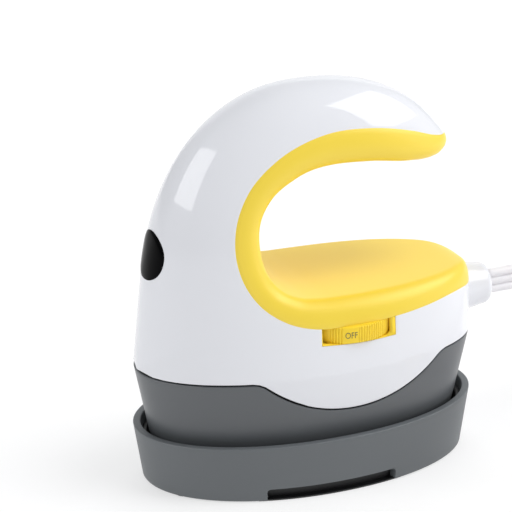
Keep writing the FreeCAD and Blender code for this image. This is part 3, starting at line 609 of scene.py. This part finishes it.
def liner_surface():
    """Section across: the housing's side runs on for a depth while it rounds in, then the face."""
    wide = half_width_at(seam_line[:, 0], seam_line[:, 1])
    wide[[0, -1]] = 0.0
    on_side = np.column_stack([seam_line[:, 0], wide, seam_line[:, 1]])
    rows = resample(np.column_stack([on_side, seam_line, gap_line]),
                    np.linspace(0, 1, LINER_ROWS))[:, 3:]
    seam, gap = rows[:, :2], rows[:, 2:]
    seam[[0, -1]] = REAR_TIP, NOSE_TIP
    wide = half_width_at(seam[:, 0], seam[:, 1])[:, None]
    wide[[0, -1]] = 0.0
    inward = gap - seam
    depth = np.linalg.norm(inward, axis=1)
    inward /= depth[:, None]
    gone = gone_along(seam)
    for away, (size, tip) in ((gone, REAR_CLOSE), (gone[-1] - gone, NOSE_CLOSE)):
        end = np.clip(1 - away / size, 0, 1)
        depth = depth * (tip + (1 - tip) * np.sqrt(1 - end**2.2))
    depth = depth[:, None]
    on_deck = np.clip((DECK_LEVEL - seam[:, 1:]) / DECK_BLEND, 0, 1)
    rounding = np.minimum(ROUNDING - (ROUNDING - DECK_ROUNDING) * on_deck, wide * 0.92)
    a = np.linspace(0, math.pi / 2, SIDE_STEPS)[None]
    fullness = 2 / (2.3 - 0.1 * on_deck)
    deep = depth * np.sin(a) ** fullness
    x, z = seam[:, :1] + inward[:, :1] * deep, seam[:, 1:] + inward[:, 1:] * deep
    across = half_width_at(x, z) - rounding * (1 - np.cos(a) ** fullness)
    across = np.maximum(across, 0.0)
    across[[0, -1]] = 0.0
    flat = np.linspace(1, 0, FACE_STEPS)[1:]
    dish = DISH * (1 - flat**2) ** 2 * (1 - on_deck) * np.clip((wide - 10) / 20, 0, 1)
    inner = depth - dish
    x = np.concatenate([x, seam[:, :1] + inward[:, :1] * inner], axis=1)
    z = np.concatenate([z, seam[:, 1:] + inward[:, 1:] * inner], axis=1)
    across = np.concatenate([across, across[:, -1:] * flat], axis=1)
    half = points_at(x, -across, z)
    return np.concatenate([half, half[:, -2::-1] * [1, -1, 1]], axis=1)


liner = grid_piece("grip_liner_shell", liner_surface(), yellow_plastic, "press", around=False)
add_wall(liner, 1.6)
round_edges(liner, 0.2)
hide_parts("grip_liner")

# %% [markdown]
# ## Skirt and rest
#
# Both are rings of ovals.  The skirt's upper edge follows the wavy seam with a
# hair of a gap, and a black ring set back in the gap paints the shade that the
# gap casts.  The rest is a wall with a rounded rim, whose lower edge rises over
# a finger notch in each long side, and a black tray lies in it; under each notch
# the tray reaches out as a black sill that paints the shade on the table.

# %% Skirt
SEAM_GAP = 0.85


def skirt_surface():
    """Ovals between the skirt's rim and the seam, with levels shared out in each column."""
    turn = full_turn(360)
    share = np.linspace(0, 1, 24)[:, None]
    level = mix(SKIRT_BOTTOM, seam_level(folded(turn), SEAM_GAP), share)
    x = x_at(folded(turn), level)
    y = half_width_at(x, level)
    y[:, [0, 180]] = 0.0
    return points_at(x, np.where(turn > math.pi, y, -y), level)


skirt = grid_piece("skirt_shell", skirt_surface(), grey_plastic, "press")
add_wall(skirt, 2.2)
round_edges(skirt, 0.25)
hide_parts("skirt")

# %% Painted shade in the seam
SHADE_RING_FRONT, SHADE_RING_BACK = 0.6, 1.9  # how far in it lies


def ring_at(turn, z, inset):
    """A point of the press's oval at an angle and a level, moved in by inset."""
    front, rear, side = outline(z)
    c, s = np.cos(turn), np.sin(turn)
    power = 2 / fullness_at(c > 0, z)
    x = (front + rear) / 2 + ((rear - front) / 2 - inset) * np.sign(c) * np.abs(c) ** power
    y = (side - inset) * np.sign(s) * np.abs(s) ** power
    return points_at(x, -y, z)


def seam_shade_surface():
    """A black ring in the gap of the seam, set back behind the outside: painted shade for the gap.
    """
    turn = full_turn(360)
    z = seam_level(folded(turn))
    corners = [(0.0, SHADE_RING_FRONT), (SEAM_GAP, SHADE_RING_FRONT), (SEAM_GAP, SHADE_RING_BACK),
               (0.0, SHADE_RING_BACK), (0.0, SHADE_RING_FRONT)]
    return np.array([ring_at(turn, z - drop, inset) for drop, inset in corners])


# a black ring in the seam's gap: painted shade, not a real seal
grid_piece("seam_painted_shade", seam_shade_surface(), seam_shade_black, "press", smooth=False)

# %% Rest
REST_HALF, REST_DRAFT = (65.0, 37.5), (3.6, 0.4)
REST_LONGER = 0.8  # how much longer the rear half is
REST_TOP, REST_LOW, REST_WALL, REST_RIM = 21.2, 0.5, 2.8, 0.5
REST_FULLNESS = 2.07
NOTCH = (-3.7, 49.8, 4.8, 1.6)  # middle, width, height, corner
JUMP = 2e-5  # the angle in which the notch's side stands up
FEET = ((-53, -14), (-53, 14), (53, -14), (53, 14))


def rest_oval(turn, z, inset):
    """The rest's oval at a level, moved in by inset."""
    share = (REST_TOP - z) / REST_TOP
    c, s = super_circle(turn, REST_FULLNESS)
    long_half = np.where(c > 0, REST_HALF[0] + REST_LONGER, REST_HALF[0])
    return ((long_half - inset - REST_DRAFT[0] * share) * c,
            (REST_HALF[1] - inset - REST_DRAFT[1] * share) * s)


def rest_turn(x):
    """The angle at which the rest's outside passes an x, by looking it up."""
    turn = np.linspace(0, math.pi, 4001)
    return np.interp(-x, -rest_oval(turn, REST_LOW, 0.0)[0], turn)


def rest_surface():
    """A closed section carried round the oval: up the outside, over the rim, down the inside."""
    middle, width, height, corner = NOTCH
    corner_steps = corner * (1 - np.cos(np.linspace(0, math.pi / 2, 9)))
    across = np.concatenate([np.linspace(-width / 2, width / 2, 41), -width / 2 + corner_steps,
                             width / 2 - corner_steps])
    notch_turn = rest_turn(middle + np.unique(across.round(6)))[::-1]
    first, last = notch_turn[[0, -1]]
    upper = np.concatenate([np.linspace(0, first - JUMP, 60), notch_turn,
                            np.linspace(last + JUMP, math.pi, 60)])
    turn = np.concatenate([upper, 2 * math.pi - upper[-2:0:-1]])
    away = np.abs(rest_oval(turn, REST_LOW, 0.0)[0] - middle)
    in_notch = (folded(turn) >= first - JUMP / 2) & (folded(turn) <= last + JUMP / 2)
    drop = np.clip(away - (width / 2 - corner), 0, corner)
    low = np.where(in_notch, height - corner + np.sqrt(np.maximum(corner**2 - drop**2, 0)),
                   REST_LOW)
    top = REST_TOP - REST_RIM
    outside = [(mix(low, top, t), 0.0) for t in np.linspace(0, 1, 14)]
    outside += [(top + REST_RIM * np.sin(a), REST_RIM * (1 - np.cos(a)))
                for a in np.linspace(0, math.pi / 2, 6)[1:]]
    inside = [(z, REST_WALL - inset) for z, inset in outside[::-1]]
    return np.array([points_at(*rest_oval(turn, z, inset), z)
                     for z, inset in outside + inside + outside[:1]])


def foot_posts():
    """A short column over each foot, from the foot's top to the tray."""
    section = ((0.01, 0.5), (3.1, 0.5), (3.0, 4.55), (0.01, 4.55))
    return [np.array([on_circle(foot, r, full_turn(32), z) for r, z in section]) for foot in FEET]


rest_grids = [rest_surface(), *foot_posts()]
starts = np.cumsum([0] + [grid[..., 0].size for grid in rest_grids])
rest_faces = [grid_faces(*grid.shape[:2], around=True) + start
              for grid, start in zip(rest_grids, starts)]
rest = make_piece("rest_wall", rest_grids, rest_faces, rest_plastic, "rest")
round_edges(rest, 0.25, 55.0)
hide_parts("rest_shell")

# %% Tray
TRAY = (3.05, 1.5, 17.6, 4.6, 6.0)  # inset, wall, rim, underside, floor


def tray_surface():
    """A black dish: outside wall, rim, inside wall, floor with its opening, underside, and under
    the notches a sill of painted shade.
    """
    inset, wall, rim, under, floor = TRAY
    turn = full_turn(480)
    near_notch = np.abs(rest_oval(turn, 10.0, 0.0)[0] - NOTCH[0]) < NOTCH[1] / 2 + 4
    # Near each notch the foot drops to the table and reaches out to 0.5 mm from the outer wall: a
    # black sill that paints the shade on the table in the notch.
    low, foot, shade_sill_inset = (np.where(near_notch, a, b)
                         for a, b in ((0.7, under), (0.15, under), (0.5, inset)))
    rings = [(foot, shade_sill_inset), (low, shade_sill_inset), (low, inset), (rim - 0.3, inset), (rim, inset + 0.3),
             (rim, inset + wall - 0.3), (rim - 0.3, inset + wall), (floor, inset + wall),
             (floor, inset + 5.2), (under, inset + 5.2), (under, inset + wall),
             (foot, inset + wall), (foot, shade_sill_inset)]
    return np.array([points_at(*rest_oval(turn, z, step), z) * [1, -1, 1] for z, step in rings])


tray = grid_piece("tray_liner", tray_surface(), black_plastic, "rest", smooth=False)
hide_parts("rest_tray")

# %% [markdown]
# ## Lens and thumbwheel
#
# The lens is an egg-shaped cap that lies on the front of the housing.  The
# wheel is a thick disc on an upright spindle with a ribbed rim, and it has
# plain patches for its marks.  A thin lining frames the window that it shows
# in.

# %% Lens
LENS = (79.3, 96.6, 9.3)  # bottom, top, half width
LENS_FULLNESS = (2.0, 2.35)  # above, below
LENS_RINGS = (0.04, 0.3, 0.55, 0.75, 0.88, 0.94, 0.975, 0.993, 1.0)
LENS_LIFT, LENS_ROOT, LENS_EDGE = 0.42, -1.2, 0.88  # the edge rounds over from this share


def lens_surface():
    """An egg in the front view, laid on the outer form and rounded over at its edge."""
    around = full_turn(96)
    low, high, half = LENS
    c, s = super_circle(around, np.where(np.sin(around) > 0, *LENS_FULLNESS))
    rings = [(r, LENS_LIFT * (1 - 0.4 * max(r - LENS_EDGE, 0) / (1 - LENS_EDGE)))
             for r in LENS_RINGS] + [(1.0, LENS_ROOT)]
    points = []
    for r, out in rings:
        y, z = half * c * r, (low + high) / 2 + (high - low) / 2 * s * r
        front, rear, side = outline(z)
        n = fullness_at(False, z)
        share = (1 - np.clip(np.abs(y) / side, 0, 1) ** n) ** (1 / n)
        points.append(points_at((front + rear) / 2 - (rear - front) / 2 * share - out, y, z))
    return np.array(points)


lens_points = lens_surface()
lens = capped_piece("lens_cap", lens_points, lens_points[[0, -1]].mean(axis=1), lens_plastic,
                    "press")
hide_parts("indicator_lens")

# %% Thumbwheel
WHEEL = (7.7, -14.0, 55.75, 62.0, 20.2)  # x, y, bottom, top, radius
RIBS, RIB_DEPTH, RIB_STEPS = 120, 0.5, 8
MARKS = (("off", "OFF"), ("low", "1"), ("middle", "2"), ("high", "3"))
MARK_TURN = math.atan2(-33.6 + 14.0, 3.9 - 7.7)
MARK_STEP = math.radians(30)
MARK_HALF, MARK_FADE = 2.7 / 20.2, 0.012


def wheel_radius(turn):
    """Ribs as a rounded wave, fading out on the plain patches."""
    ribs = RIB_DEPTH * (np.abs(np.sin(turn * RIBS / 2)) ** 0.6 - 1)
    plain = np.zeros_like(turn)
    for i in range(len(MARKS)):
        gap = (turn - (MARK_TURN - i * MARK_STEP) + math.pi) % (2 * math.pi) - math.pi
        plain = np.maximum(plain, np.clip((MARK_HALF + MARK_FADE - np.abs(gap)) / MARK_FADE, 0, 1))
    return WHEEL[4] + ribs * (1 - plain) - 0.05 * plain


def wheel_surface():
    """Rings from the hub over the rim and back, each with its radius and its height."""
    turn = full_turn(RIBS * RIB_STEPS)
    edge = wheel_radius(turn)
    low, high = WHEEL[2:4]
    rings = [(3.1, low), (16.0, low), (edge - 0.5, low), (edge - 0.12, low + 0.15),
             (edge, low + 0.5), (edge, high - 0.5), (edge - 0.12, high - 0.15),
             (edge - 0.5, high), (16.0, high), (3.1, high), (3.1, low)]
    return np.array([on_circle(WHEEL, r, turn, z) for r, z in rings])


wheel = grid_piece("ribbed_wheel", wheel_surface(), wheel_plastic, "wheel")
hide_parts("thumbwheel")

# %% Window lining
LINING_TOP, LINING_BACK = 62.1, (0.1, 2.4)
LINING_SILL = ((-7.1, -4.0, -1.5, 2.0, 17.0, 19.2, 20.4),
               (56.8, 56.3, 55.95, 55.66, 55.66, 55.8, 57.0))


def lining_path(x, z):
    """Down from the top at the sill's left end, along the sill and up at its right end."""
    sill = np.stack([x, z], axis=1)
    sides = np.linspace(1, 0, 13)[:-1, None]
    return np.concatenate([sill[0] + sides * [0, LINING_TOP - z[0]], sill,
                           sill[-1] + sides[::-1] * [0, LINING_TOP - z[-1]]])


def lining_surface():
    """A thin frame in the window: left side, sill and a broader right side, four corners across."""
    x = np.linspace(WINDOW[0] + 0.05, WINDOW[1] - 0.05, 40)
    outer = lining_path(x, np.interp(x, *WINDOW_SILL) + 0.03)
    x = np.linspace(WINDOW[0] + 0.4, 20.4, 40)
    inner = lining_path(x, np.interp(x, *LINING_SILL))
    face, deep = LINING_BACK
    rings = []
    for path, back in ((outer, face), (inner, face), (inner, deep), (outer, deep), (outer, face)):
        x, z = path.T
        rings.append(points_at(x, back - half_width_at(x, z), z))
    return np.array(rings).transpose(1, 0, 2)


lining = grid_piece("window_lining", lining_surface(), wheel_plastic, "press", around=False)
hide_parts("wheel_bezel")

# %% Marks on the wheel
MARK_SIZE, MARK_SQUEEZE, MARK_SINK = 3.3, 0.8, 0.03
mark_ink = plastic("mark_ink", srgb(112, 104, 70), 0.5, drift=0.05)


def mesh_of(data):
    """The mesh that Blender makes of letters or of a curve, and its points."""
    holder = new_object(data.name + "_holder", data)
    bpy.context.view_layer.update()
    mesh = bpy.data.meshes.new_from_object(holder)
    bpy.data.objects.remove(holder)
    flat = np.zeros(len(mesh.vertices) * 3)
    mesh.vertices.foreach_get("co", flat)
    return mesh, flat.reshape(-1, 3)


def wheel_mark(name, words, index):
    """Letters made a mesh, then bent round the wheel: along becomes angle, up becomes height."""
    data = bpy.data.curves.new(name, "FONT")
    data.body, data.size = words, MARK_SIZE
    data.align_x, data.align_y = "CENTER", "CENTER"
    data.extrude, data.resolution_u = MARK_SINK, 6
    mesh, points = mesh_of(data)
    along, height, out = points.T
    turn = MARK_TURN - index * MARK_STEP + MARK_SQUEEZE * along / WHEEL[4]
    bent = on_circle(WHEEL, WHEEL[4] - MARK_SINK + out, turn, sum(WHEEL[2:4]) / 2 + height)
    mesh.vertices.foreach_set("co", (bent * MM).ravel())
    mesh.name = name
    mesh.materials.clear()
    mesh.materials.append(mark_ink)
    piece = new_object(name, mesh)
    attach(piece, "wheel")


for i, (name, words) in enumerate(MARKS):
    wheel_mark("mark_" + name, words, i)
print("marks", len(MARKS))

# %% [markdown]
# ## Cord
#
# The mains cord is flat, with three cores side by side.  It leaves the outlet
# on edge, lies over while it sinks to the table, and stands on edge again in
# its coil, because a flat cord bends easily only across its thin way.  Its
# route is a smooth curve, and the ribbed section is carried along it with a
# slow twist.

# %% Cord route
CORD_WIDTH, CORE_RADIUS, CORE_PITCH, WEB = 8.4, 1.45, 2.75, 0.8
RUN = [(74.5, 0, 56), (85.5, 0, 56), (100.7, 3.1, 55.2), (118.7, 10, 51.1), (136.8, 17.6, 43.8),
       (150.3, 21, 36.3), (163.1, 20, 27.6), (174.7, 14.4, 19), (184.1, 4.5, 11.7),
       (190.7, -8.6, 6.5), (193.8, -23.6, 4.2), (193.8, -36, 4.2)]
END_RUN = [(170.3, -57.6, 13.2), (157.4, -66.9, 16.4), (142.6, -70.9, 18.6), (129.6, -70.9, 18.6)]
COIL_CENTRE, COIL_START, COIL_TURNS, COIL_PITCH = (140.0, -38.0), 53.8, 4.8, 3.05
ON_TABLE = 4.2  # the middle of a cord that stands on edge
OVER_TURNS = ((67, 38.9, 4.6), (42, 38.9, 7.3), (18, 39.0, 10.2), (-8, 37.8, 12.3))
print("route points", len(RUN), "and", len(END_RUN))

# %% Cord line
def wound_coil():
    """A flat spiral, clockwise from above, 16 points a turn: each turn is one pitch further in."""
    step = np.arange(1, int(COIL_TURNS * 16) + 1) / 16
    turn = math.atan2(2.0, COIL_START) - 2 * math.pi * step
    return on_circle(COIL_CENTRE, COIL_START - COIL_PITCH * step, turn, ON_TABLE)


def over_the_turns():
    """From the innermost turn up, and on to the turns in a low rise."""
    degrees, radius, height = np.array(OVER_TURNS).T
    return on_circle(COIL_CENTRE, radius, np.radians(degrees), height)


def spline_points(name, points, detail):
    """Points along a smooth NURBS line through a route, as Blender's own curve gives them."""
    data = bpy.data.curves.new(name, "CURVE")
    data.dimensions, data.resolution_u = "3D", detail
    line = data.splines.new("NURBS")
    line.points.add(len(points) - 1)
    weighted = np.concatenate([np.asarray(points) * MM, np.ones((len(points), 1))], axis=1)
    line.points.foreach_set("co", weighted.ravel())
    line.order_u, line.use_endpoint_u = 3, True
    mesh, points = mesh_of(data)
    bpy.data.meshes.remove(mesh)
    return points / MM


cord_points = np.concatenate([RUN, wound_coil(), over_the_turns(), END_RUN])
cord_line = spline_points("cord_route", cord_points, 8)
cord_gone = gone_along(cord_line)
print("cord", len(cord_line), "points", round(float(cord_gone[-1])), "mm long")

# %% Cord body
def ways_along(line, lean):
    """Wide way and thin way of a flat cord; lean 0 stands it on edge and 1 lays it flat."""
    tangent = np.gradient(line, axis=0)
    tangent /= np.linalg.norm(tangent, axis=1)[:, None]
    upright = np.array([0, 0, 1.0]) - tangent * tangent[:, 2:3]
    upright /= np.linalg.norm(upright, axis=1)[:, None]
    level = np.cross(tangent, upright)
    angle = lean[:, None] * math.pi / 2
    wide = np.cos(angle) * upright + np.sin(angle) * level
    return wide, np.cross(tangent, wide)


def cord_section():
    """Three round cores side by side, joined by webs: the outline above, then the one below."""
    w = np.concatenate([c + np.array([-1, -0.92, -0.72, -0.4, 0, 0.4, 0.72, 0.92, 1]) * CORE_RADIUS
                        for c in (-CORE_PITCH, 0, CORE_PITCH)])
    w = np.unique(np.concatenate([w, [-CORE_PITCH / 2, CORE_PITCH / 2]]).round(4))
    near_core = np.min(np.abs(w[:, None] - np.array([-CORE_PITCH, 0, CORE_PITCH])), axis=1)
    thick = np.sqrt(np.maximum(CORE_RADIUS**2 - near_core**2, 0))
    thick = np.where(np.abs(w) < CORE_PITCH, np.maximum(thick, WEB / 2), thick)
    return np.concatenate([w, w[-2:0:-1]]), np.concatenate([thick, -thick[-2:0:-1]])


def lean_along(line, gone):
    """On edge at the outlet, flat while it sinks, on edge in the coil, and flat over it."""
    on_table = gone[np.argmin(np.linalg.norm(line - [192.0, -14.0, 5.6], axis=1))]
    inner_end = gone[np.argmin(np.linalg.norm(line - over_the_turns()[0], axis=1))]
    return (smooth_step(gone, 12, 62) - smooth_step(gone, on_table - 70, on_table)
            + smooth_step(gone, inner_end - 4, inner_end + 26))


wide, thin = ways_along(cord_line, lean_along(cord_line, cord_gone))
section_w, section_t = cord_section()
swell = 1 + 0.14 * (1 - smooth_step(cord_gone, 30, 110))[:, None, None]
cord_rings = (cord_line[:, None] + swell * (wide[:, None] * section_w[None, :, None]
                                            + thin[:, None] * section_t[None, :, None]))
cord = capped_piece("mains_cord", cord_rings, cord_line[[0, -1]], cord_plastic)
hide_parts("cord_run", "cord_coil", "cord_end")
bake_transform(cord)

# %% [markdown]
# ## Outlet and plug
#
# The outlet is a short boss whose end face closes round the flat cord.  Its
# rings change from circles to a narrow slot.  The plug is a rounded body with
# grip ridges and a ringed, tapered tail that keeps the cord from kinking.

# %% Outlet
def outlet_surface():
    """Rings (x, radius, how much of a slot) from the housing to the end face and into it."""
    steps = [(60.5, 9.8, 0), (64.5, 9.1, 0), (68.0, 8.5, 0), (71.0, 8.0, 0)]
    steps += [(71.0 + 3.5 * math.sin(a), 8.0 - 1.9 * (1 - math.cos(a)), 0)
              for a in np.linspace(0, math.pi / 2, 7)[1:]]
    steps += [(74.5, 5.6, 0.7), (74.45, 5.3, 1), (74.1, 5.2, 1), (70.0, 5.1, 1)]
    rings = []
    for x, r, slot in steps:
        c, s = super_circle(full_turn(72), 2 + 1.2 * slot)
        rings.append(points_at(x, r * (1 - 0.58 * slot) * c, 56.0 + r * s))
    return np.array(rings)


outlet = grid_piece("cord_outlet", outlet_surface(), white_plastic, "press")
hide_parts("cord_bush")

# %% Plug
PLUG_TAIL = (129.6, -70.9, 18.6)
TAIL_X = 102.0  # the tail's end, counted from the plug's own zero


def plug_sections():
    """Place, half width, half height and squareness of each section along the plug."""
    steps = [(59.0, 10.6, 7.8, 3.2), (59.3, 11.8, 8.9, 3.2), (60.2, 12.6, 9.6, 3.4),
             (62.0, 13.0, 9.95, 3.6), (66.0, 12.9, 9.9, 3.6), (69.0, 12.3, 9.3, 3.4)]
    for i in range(5):  # grip ridges
        x, across, high = 70.2 + 2.6 * i, 11.9 - 0.25 * i, 8.9 - 0.2 * i
        steps += [(x + along, across + out, high + out, 3.2)
                  for along, out in ((0.0, 0.0), (0.8, 0.6), (1.7, 0.6), (2.4, 0.0))]
    steps += [(84.0, 10.2, 7.6, 2.8), (85.6, 7.6, 6.4, 2.3)]
    for i in range(4):  # ringed tail
        x, r = 86.2 + 3.9 * i, 6.1 - 0.3 * i
        steps += [(x + along, r - drop, r - drop - 0.8, 2.0)
                  for along, drop in ((0.0, 0.7), (0.5, 0.0), (2.6, 0.1), (3.1, 0.8))]
    return steps + [(101.9, 4.6, 2.9, 2.0), (TAIL_X, 4.3, 1.6, 2.0), (96.0, 4.25, 1.5, 2.0)]


def plug_surface():
    """Rounded sections along the plug, each an oval squared off by its own exponent."""
    rings = []
    for x, across, high, n in plug_sections():
        c, s = super_circle(full_turn(96), n)
        rings.append(PLUG_TAIL + points_at(x - TAIL_X, across * c, high * s))
    return np.array(rings)


plug_points = plug_surface()
plug = capped_piece("plug_body", plug_points, plug_points[[0, -1]].mean(axis=1), cord_plastic,
                    "rest")
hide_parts("plug")

# %% [markdown]
# ## Finishes of the inner parts
#
# Solids whose shape is already right keep it and get a finish.  Metals are
# brushed, the board has a lacquer with faint tracks, felt and mica have their
# fibres and flakes, and the coated plate has a fine sparkle.

# %% Metal, board, felt and mica
def metal(name, colour, rough, stretch=(1, 12, 1)):
    """Worked metal: a roughness and a height drawn out along one way, as brushing leaves them."""
    material, shader, place = new_material(name)
    lines = noise(place, 400.0, 4.0, stretch)
    set_inputs(shader, {
        "Base Color": mix_colours(spread(lines, 0, 1), shade(colour, 0.9), colour),
        "Roughness": spread(lines, rough * 0.75, rough * 1.3), "Metallic": 1.0})
    bumps(shader, (lines, 0.2, 0.02))
    return material


def speckled(name, first, second, scale, rough, share=(0.45, 0.6), height=0.1):
    """Two colours in cells or flakes of one size, with a light bump from the same pattern."""
    material, shader, place = new_material(name)
    flakes = add_node(place, "TexVoronoi", {"Vector": place, "Scale": scale}).outputs["Distance"]
    mixed = spread(flakes, 0, 1, *share)
    gloss = spread(noise(place, scale / 3), rough * 0.8, rough * 1.2)
    set_inputs(shader, {"Base Color": mix_colours(mixed, first, second), "Roughness": gloss})
    bumps(shader, (mixed, 0.3, height))
    return material


def fibres(name, colour, scale):
    """Felt: matted threads from two noises drawn out across each other."""
    material, shader, place = new_material(name)
    one, two = (noise(place, scale, 5.0, stretch) for stretch in ((1, 6, 1), (6, 1, 1)))
    both = add_node(place, "Math", {0: one, 1: two})
    both.operation = "MULTIPLY"
    threads = both.outputs[0]
    matted = spread(threads, 0, 1, 0.15, 0.4)
    set_inputs(shader, {"Base Color": mix_colours(matted, shade(colour, 0.75), colour),
                        "Roughness": 0.95, "Sheen Weight": 0.3})
    bumps(shader, (threads, 0.6, 0.3))
    return material


def circuit_board(name, colour, track):
    """Lacquered board: straight tracks from stepped waves both ways, and a grain of glass cloth."""
    material, shader, place = new_material(name)
    waves = []
    for direction in ("X", "Y"):
        wave = add_node(place, "TexWave", {"Vector": place, "Scale": 60.0, "Distortion": 0.0})
        wave.bands_direction = direction
        waves.append(spread(wave.outputs["Fac"], 0, 1, 0.78, 0.84))
    cells = spread(noise(place, 90.0, 0.0), 0, 1, 0.48, 0.5)
    one, two = (mix_colours(wave, colour, track) for wave in waves)
    set_inputs(shader, {"Base Color": mix_colours(cells, one, two), "Roughness": 0.3})
    bumps(shader, (noise(place, 1500.0), 0.15, 0.05))
    return material


def clear_plastic(name, colour, rough):
    """Clear moulding: light goes through, with a faint flow pattern in its gloss."""
    material, shader, place = new_material(name)
    flow = noise(place, 80.0, 2.0)
    set_inputs(shader, {
        "Base Color": mix_colours(flow, shade(colour, 0.97), colour),
        "Roughness": spread(flow, rough * 0.8, rough * 1.2),
        "Transmission Weight": 0.9, "IOR": 1.49})
    bumps(shader, (flow, 0.1, 0.02))
    return material


steel = metal("zinc_steel", srgb(196, 197, 200), 0.32)
plate_steel = metal("plate_steel", srgb(172, 172, 174), 0.4, stretch=(1, 30, 1))
aluminium = metal("bright_aluminium", srgb(214, 215, 218), 0.28, stretch=(20, 1, 1))
brass = metal("brass", srgb(214, 180, 108), 0.26, stretch=(10, 1, 1))
coating = speckled("baked_coating", srgb(46, 46, 48), srgb(66, 64, 62), 900.0, 0.34, height=0.02)
mica = speckled("mica_sheet", srgb(178, 160, 124), srgb(206, 190, 152), 260.0, 0.42, (0.2, 0.8))
felt = fibres("white_felt", srgb(212, 206, 190), 900.0)
board = circuit_board("green_board", srgb(20, 84, 44), srgb(42, 122, 66))
clear = clear_plastic("clear_guide", srgb(236, 240, 238), 0.06)
led_green = clear_plastic("led_epoxy", srgb(120, 222, 130), 0.1)
glass = clear_plastic("glass_bead", srgb(200, 120, 70), 0.08)
rubber = plastic("foot_rubber", srgb(40, 40, 42), 0.75, drift=0.05, grain=0.4)
silicone = plastic("lead_silicone", srgb(178, 36, 30), 0.5, drift=0.04, grain=0.15)
terminal = plastic("terminal_green", srgb(46, 120, 72), 0.4, grain=0.1)
relay_case = plastic("relay_case", srgb(38, 66, 120), 0.38, grain=0.1)

FINISHES = {
    black_plastic: ["cord_clamp", "level_switch", "wheel_spindle"], rubber: ["rest_feet"],
    cord_plastic: ["cord_tail"], clear: ["light_guide"], led_green: ["status_led"],
    board: ["led_board", "control_board"], silicone: ["led_wires", "heater_leads", "mains_leads"],
    steel: ["led_screws", "case_screws", "plate_screws", "heater_screws", "clamp_screws"],
    plate_steel: ["heater_clamp"], aluminium: ["heat_shield", "thermal_fuse", "filter_capacitor"],
    coating: ["heat_plate"], mica: ["mica_heater"], felt: ["felt_pad"],
    glass: ["temperature_sensor"], terminal: ["terminal_block"], relay_case: ["power_relay"],
    brass: ["plug_pins"],
}
for material, names in FINISHES.items():
    for name in names:
        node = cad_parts[name]
        for holder in node.material_slots:
            holder.material = material
        if not node.material_slots:
            node.data.materials.append(material)
print("finished", sum(len(names) for names in FINISHES.values()), "solids")

# %% [markdown]
# ## Table and light
#
# The table is pale and glows a little, so that the shadow on it stays faint.
# Five soft lamps only light: a broad one behind, one above, one at the left
# and two at the right.  Three more are seen only as reflections in the glossy
# parts.  What the camera sees behind the press is plain white.

# %% Table
TABLE_HALF = 6.0  # metres


def table_material():
    """Matte paper white with the faintest mottle, and a glow of its own."""
    material, shader, place = new_material("table_white")
    mottle = mix_colours(noise(place, 9.0), srgb(178, 178, 179), srgb(182, 182, 182))
    set_inputs(shader, {
        "Base Color": mottle, "Roughness": 0.9, "Specular IOR Level": 0.2,
        "Emission Color": (1.0, 1.0, 1.0, 1.0), "Emission Strength": 0.55})
    return material


side = np.linspace(-TABLE_HALF, TABLE_HALF, 7) / MM
grid = points_at(side[:, None], side[None], 0.0)
table = grid_piece("table_top", grid, table_material(), around=False)
if table.data.polygons[0].normal.z < 0:
    table.data.flip_normals()

# %% Light
SPOT = np.array([0, 0, 0.08])


def soft_lamp(name, place, size, power):
    """A rectangular soft lamp, turned so that it looks at the spot."""
    data = bpy.data.lights.new(name, "AREA")
    data.shape, data.size, data.size_y = "RECTANGLE", *size
    data.energy = power
    lamp = new_object(name, data)
    away = (place - SPOT) / np.linalg.norm(place - SPOT)
    across = np.cross([0, 0, 1.0], away)
    across /= np.linalg.norm(across)
    set_pose(lamp, (across, np.cross(away, across), away), place)
    return lamp


LAMPS = (  # name, place, size, power, and what doesn't see it
    ("lamp_above", (0.45, -0.3, 1.25), (0.6, 0.6), 6.0, "visible_glossy"),
    ("lamp_left", (-0.92, -0.19, 0.65), (1.0, 0.67), 3.3, "visible_glossy"),
    ("lamp_right", (0.95, -0.1, 0.5), (1.2, 1.0), 3.6, "visible_glossy"),
    ("lamp_low_right", (1.0, -0.6, 0.25), (0.6, 0.5), 3.5, "visible_glossy"),
    ("lamp_back", (0.4, 1.3, 0.55), (1.6, 0.8), 12.0, "visible_glossy"),
    ("shine_back", (0.39, 1.27, 0.54), (1.6, 0.8), 2.0, "visible_diffuse"),
    ("shine_right", (0.75, -0.33, 0.7), (0.85, 0.48), 4.7, "visible_diffuse"),
    ("shine_left", (-0.9, -0.186, 0.638), (0.95, 0.55), 5.6, "visible_diffuse"))
for name, place, size, power, unseen in LAMPS:
    setattr(soft_lamp(name, place, size, power), unseen, False)
print("lamps", len(LAMPS))

# %% Surroundings
world = bpy.data.worlds.new("studio")
bpy.context.scene.world = world
world.use_nodes = True
world.node_tree.nodes.clear()
path = world.node_tree.nodes.new("ShaderNodeLightPath")
ambient = add_node(path, "Background", {"Color": (0.96, 0.98, 1.0, 1.0), "Strength": 0.4})
seen = add_node(path, "Background", {"Color": (1.0, 1.0, 1.0, 1.0), "Strength": 1.0})
choose = add_node(path, "MixShader", {"Fac": path.outputs["Is Camera Ray"],
                                      1: ambient.outputs[0], 2: seen.outputs[0]})
add_node(path, "OutputWorld", {"Surface": choose.outputs["Shader"]})
bpy.context.scene.view_settings.view_transform = "Standard"
print("surroundings ready")
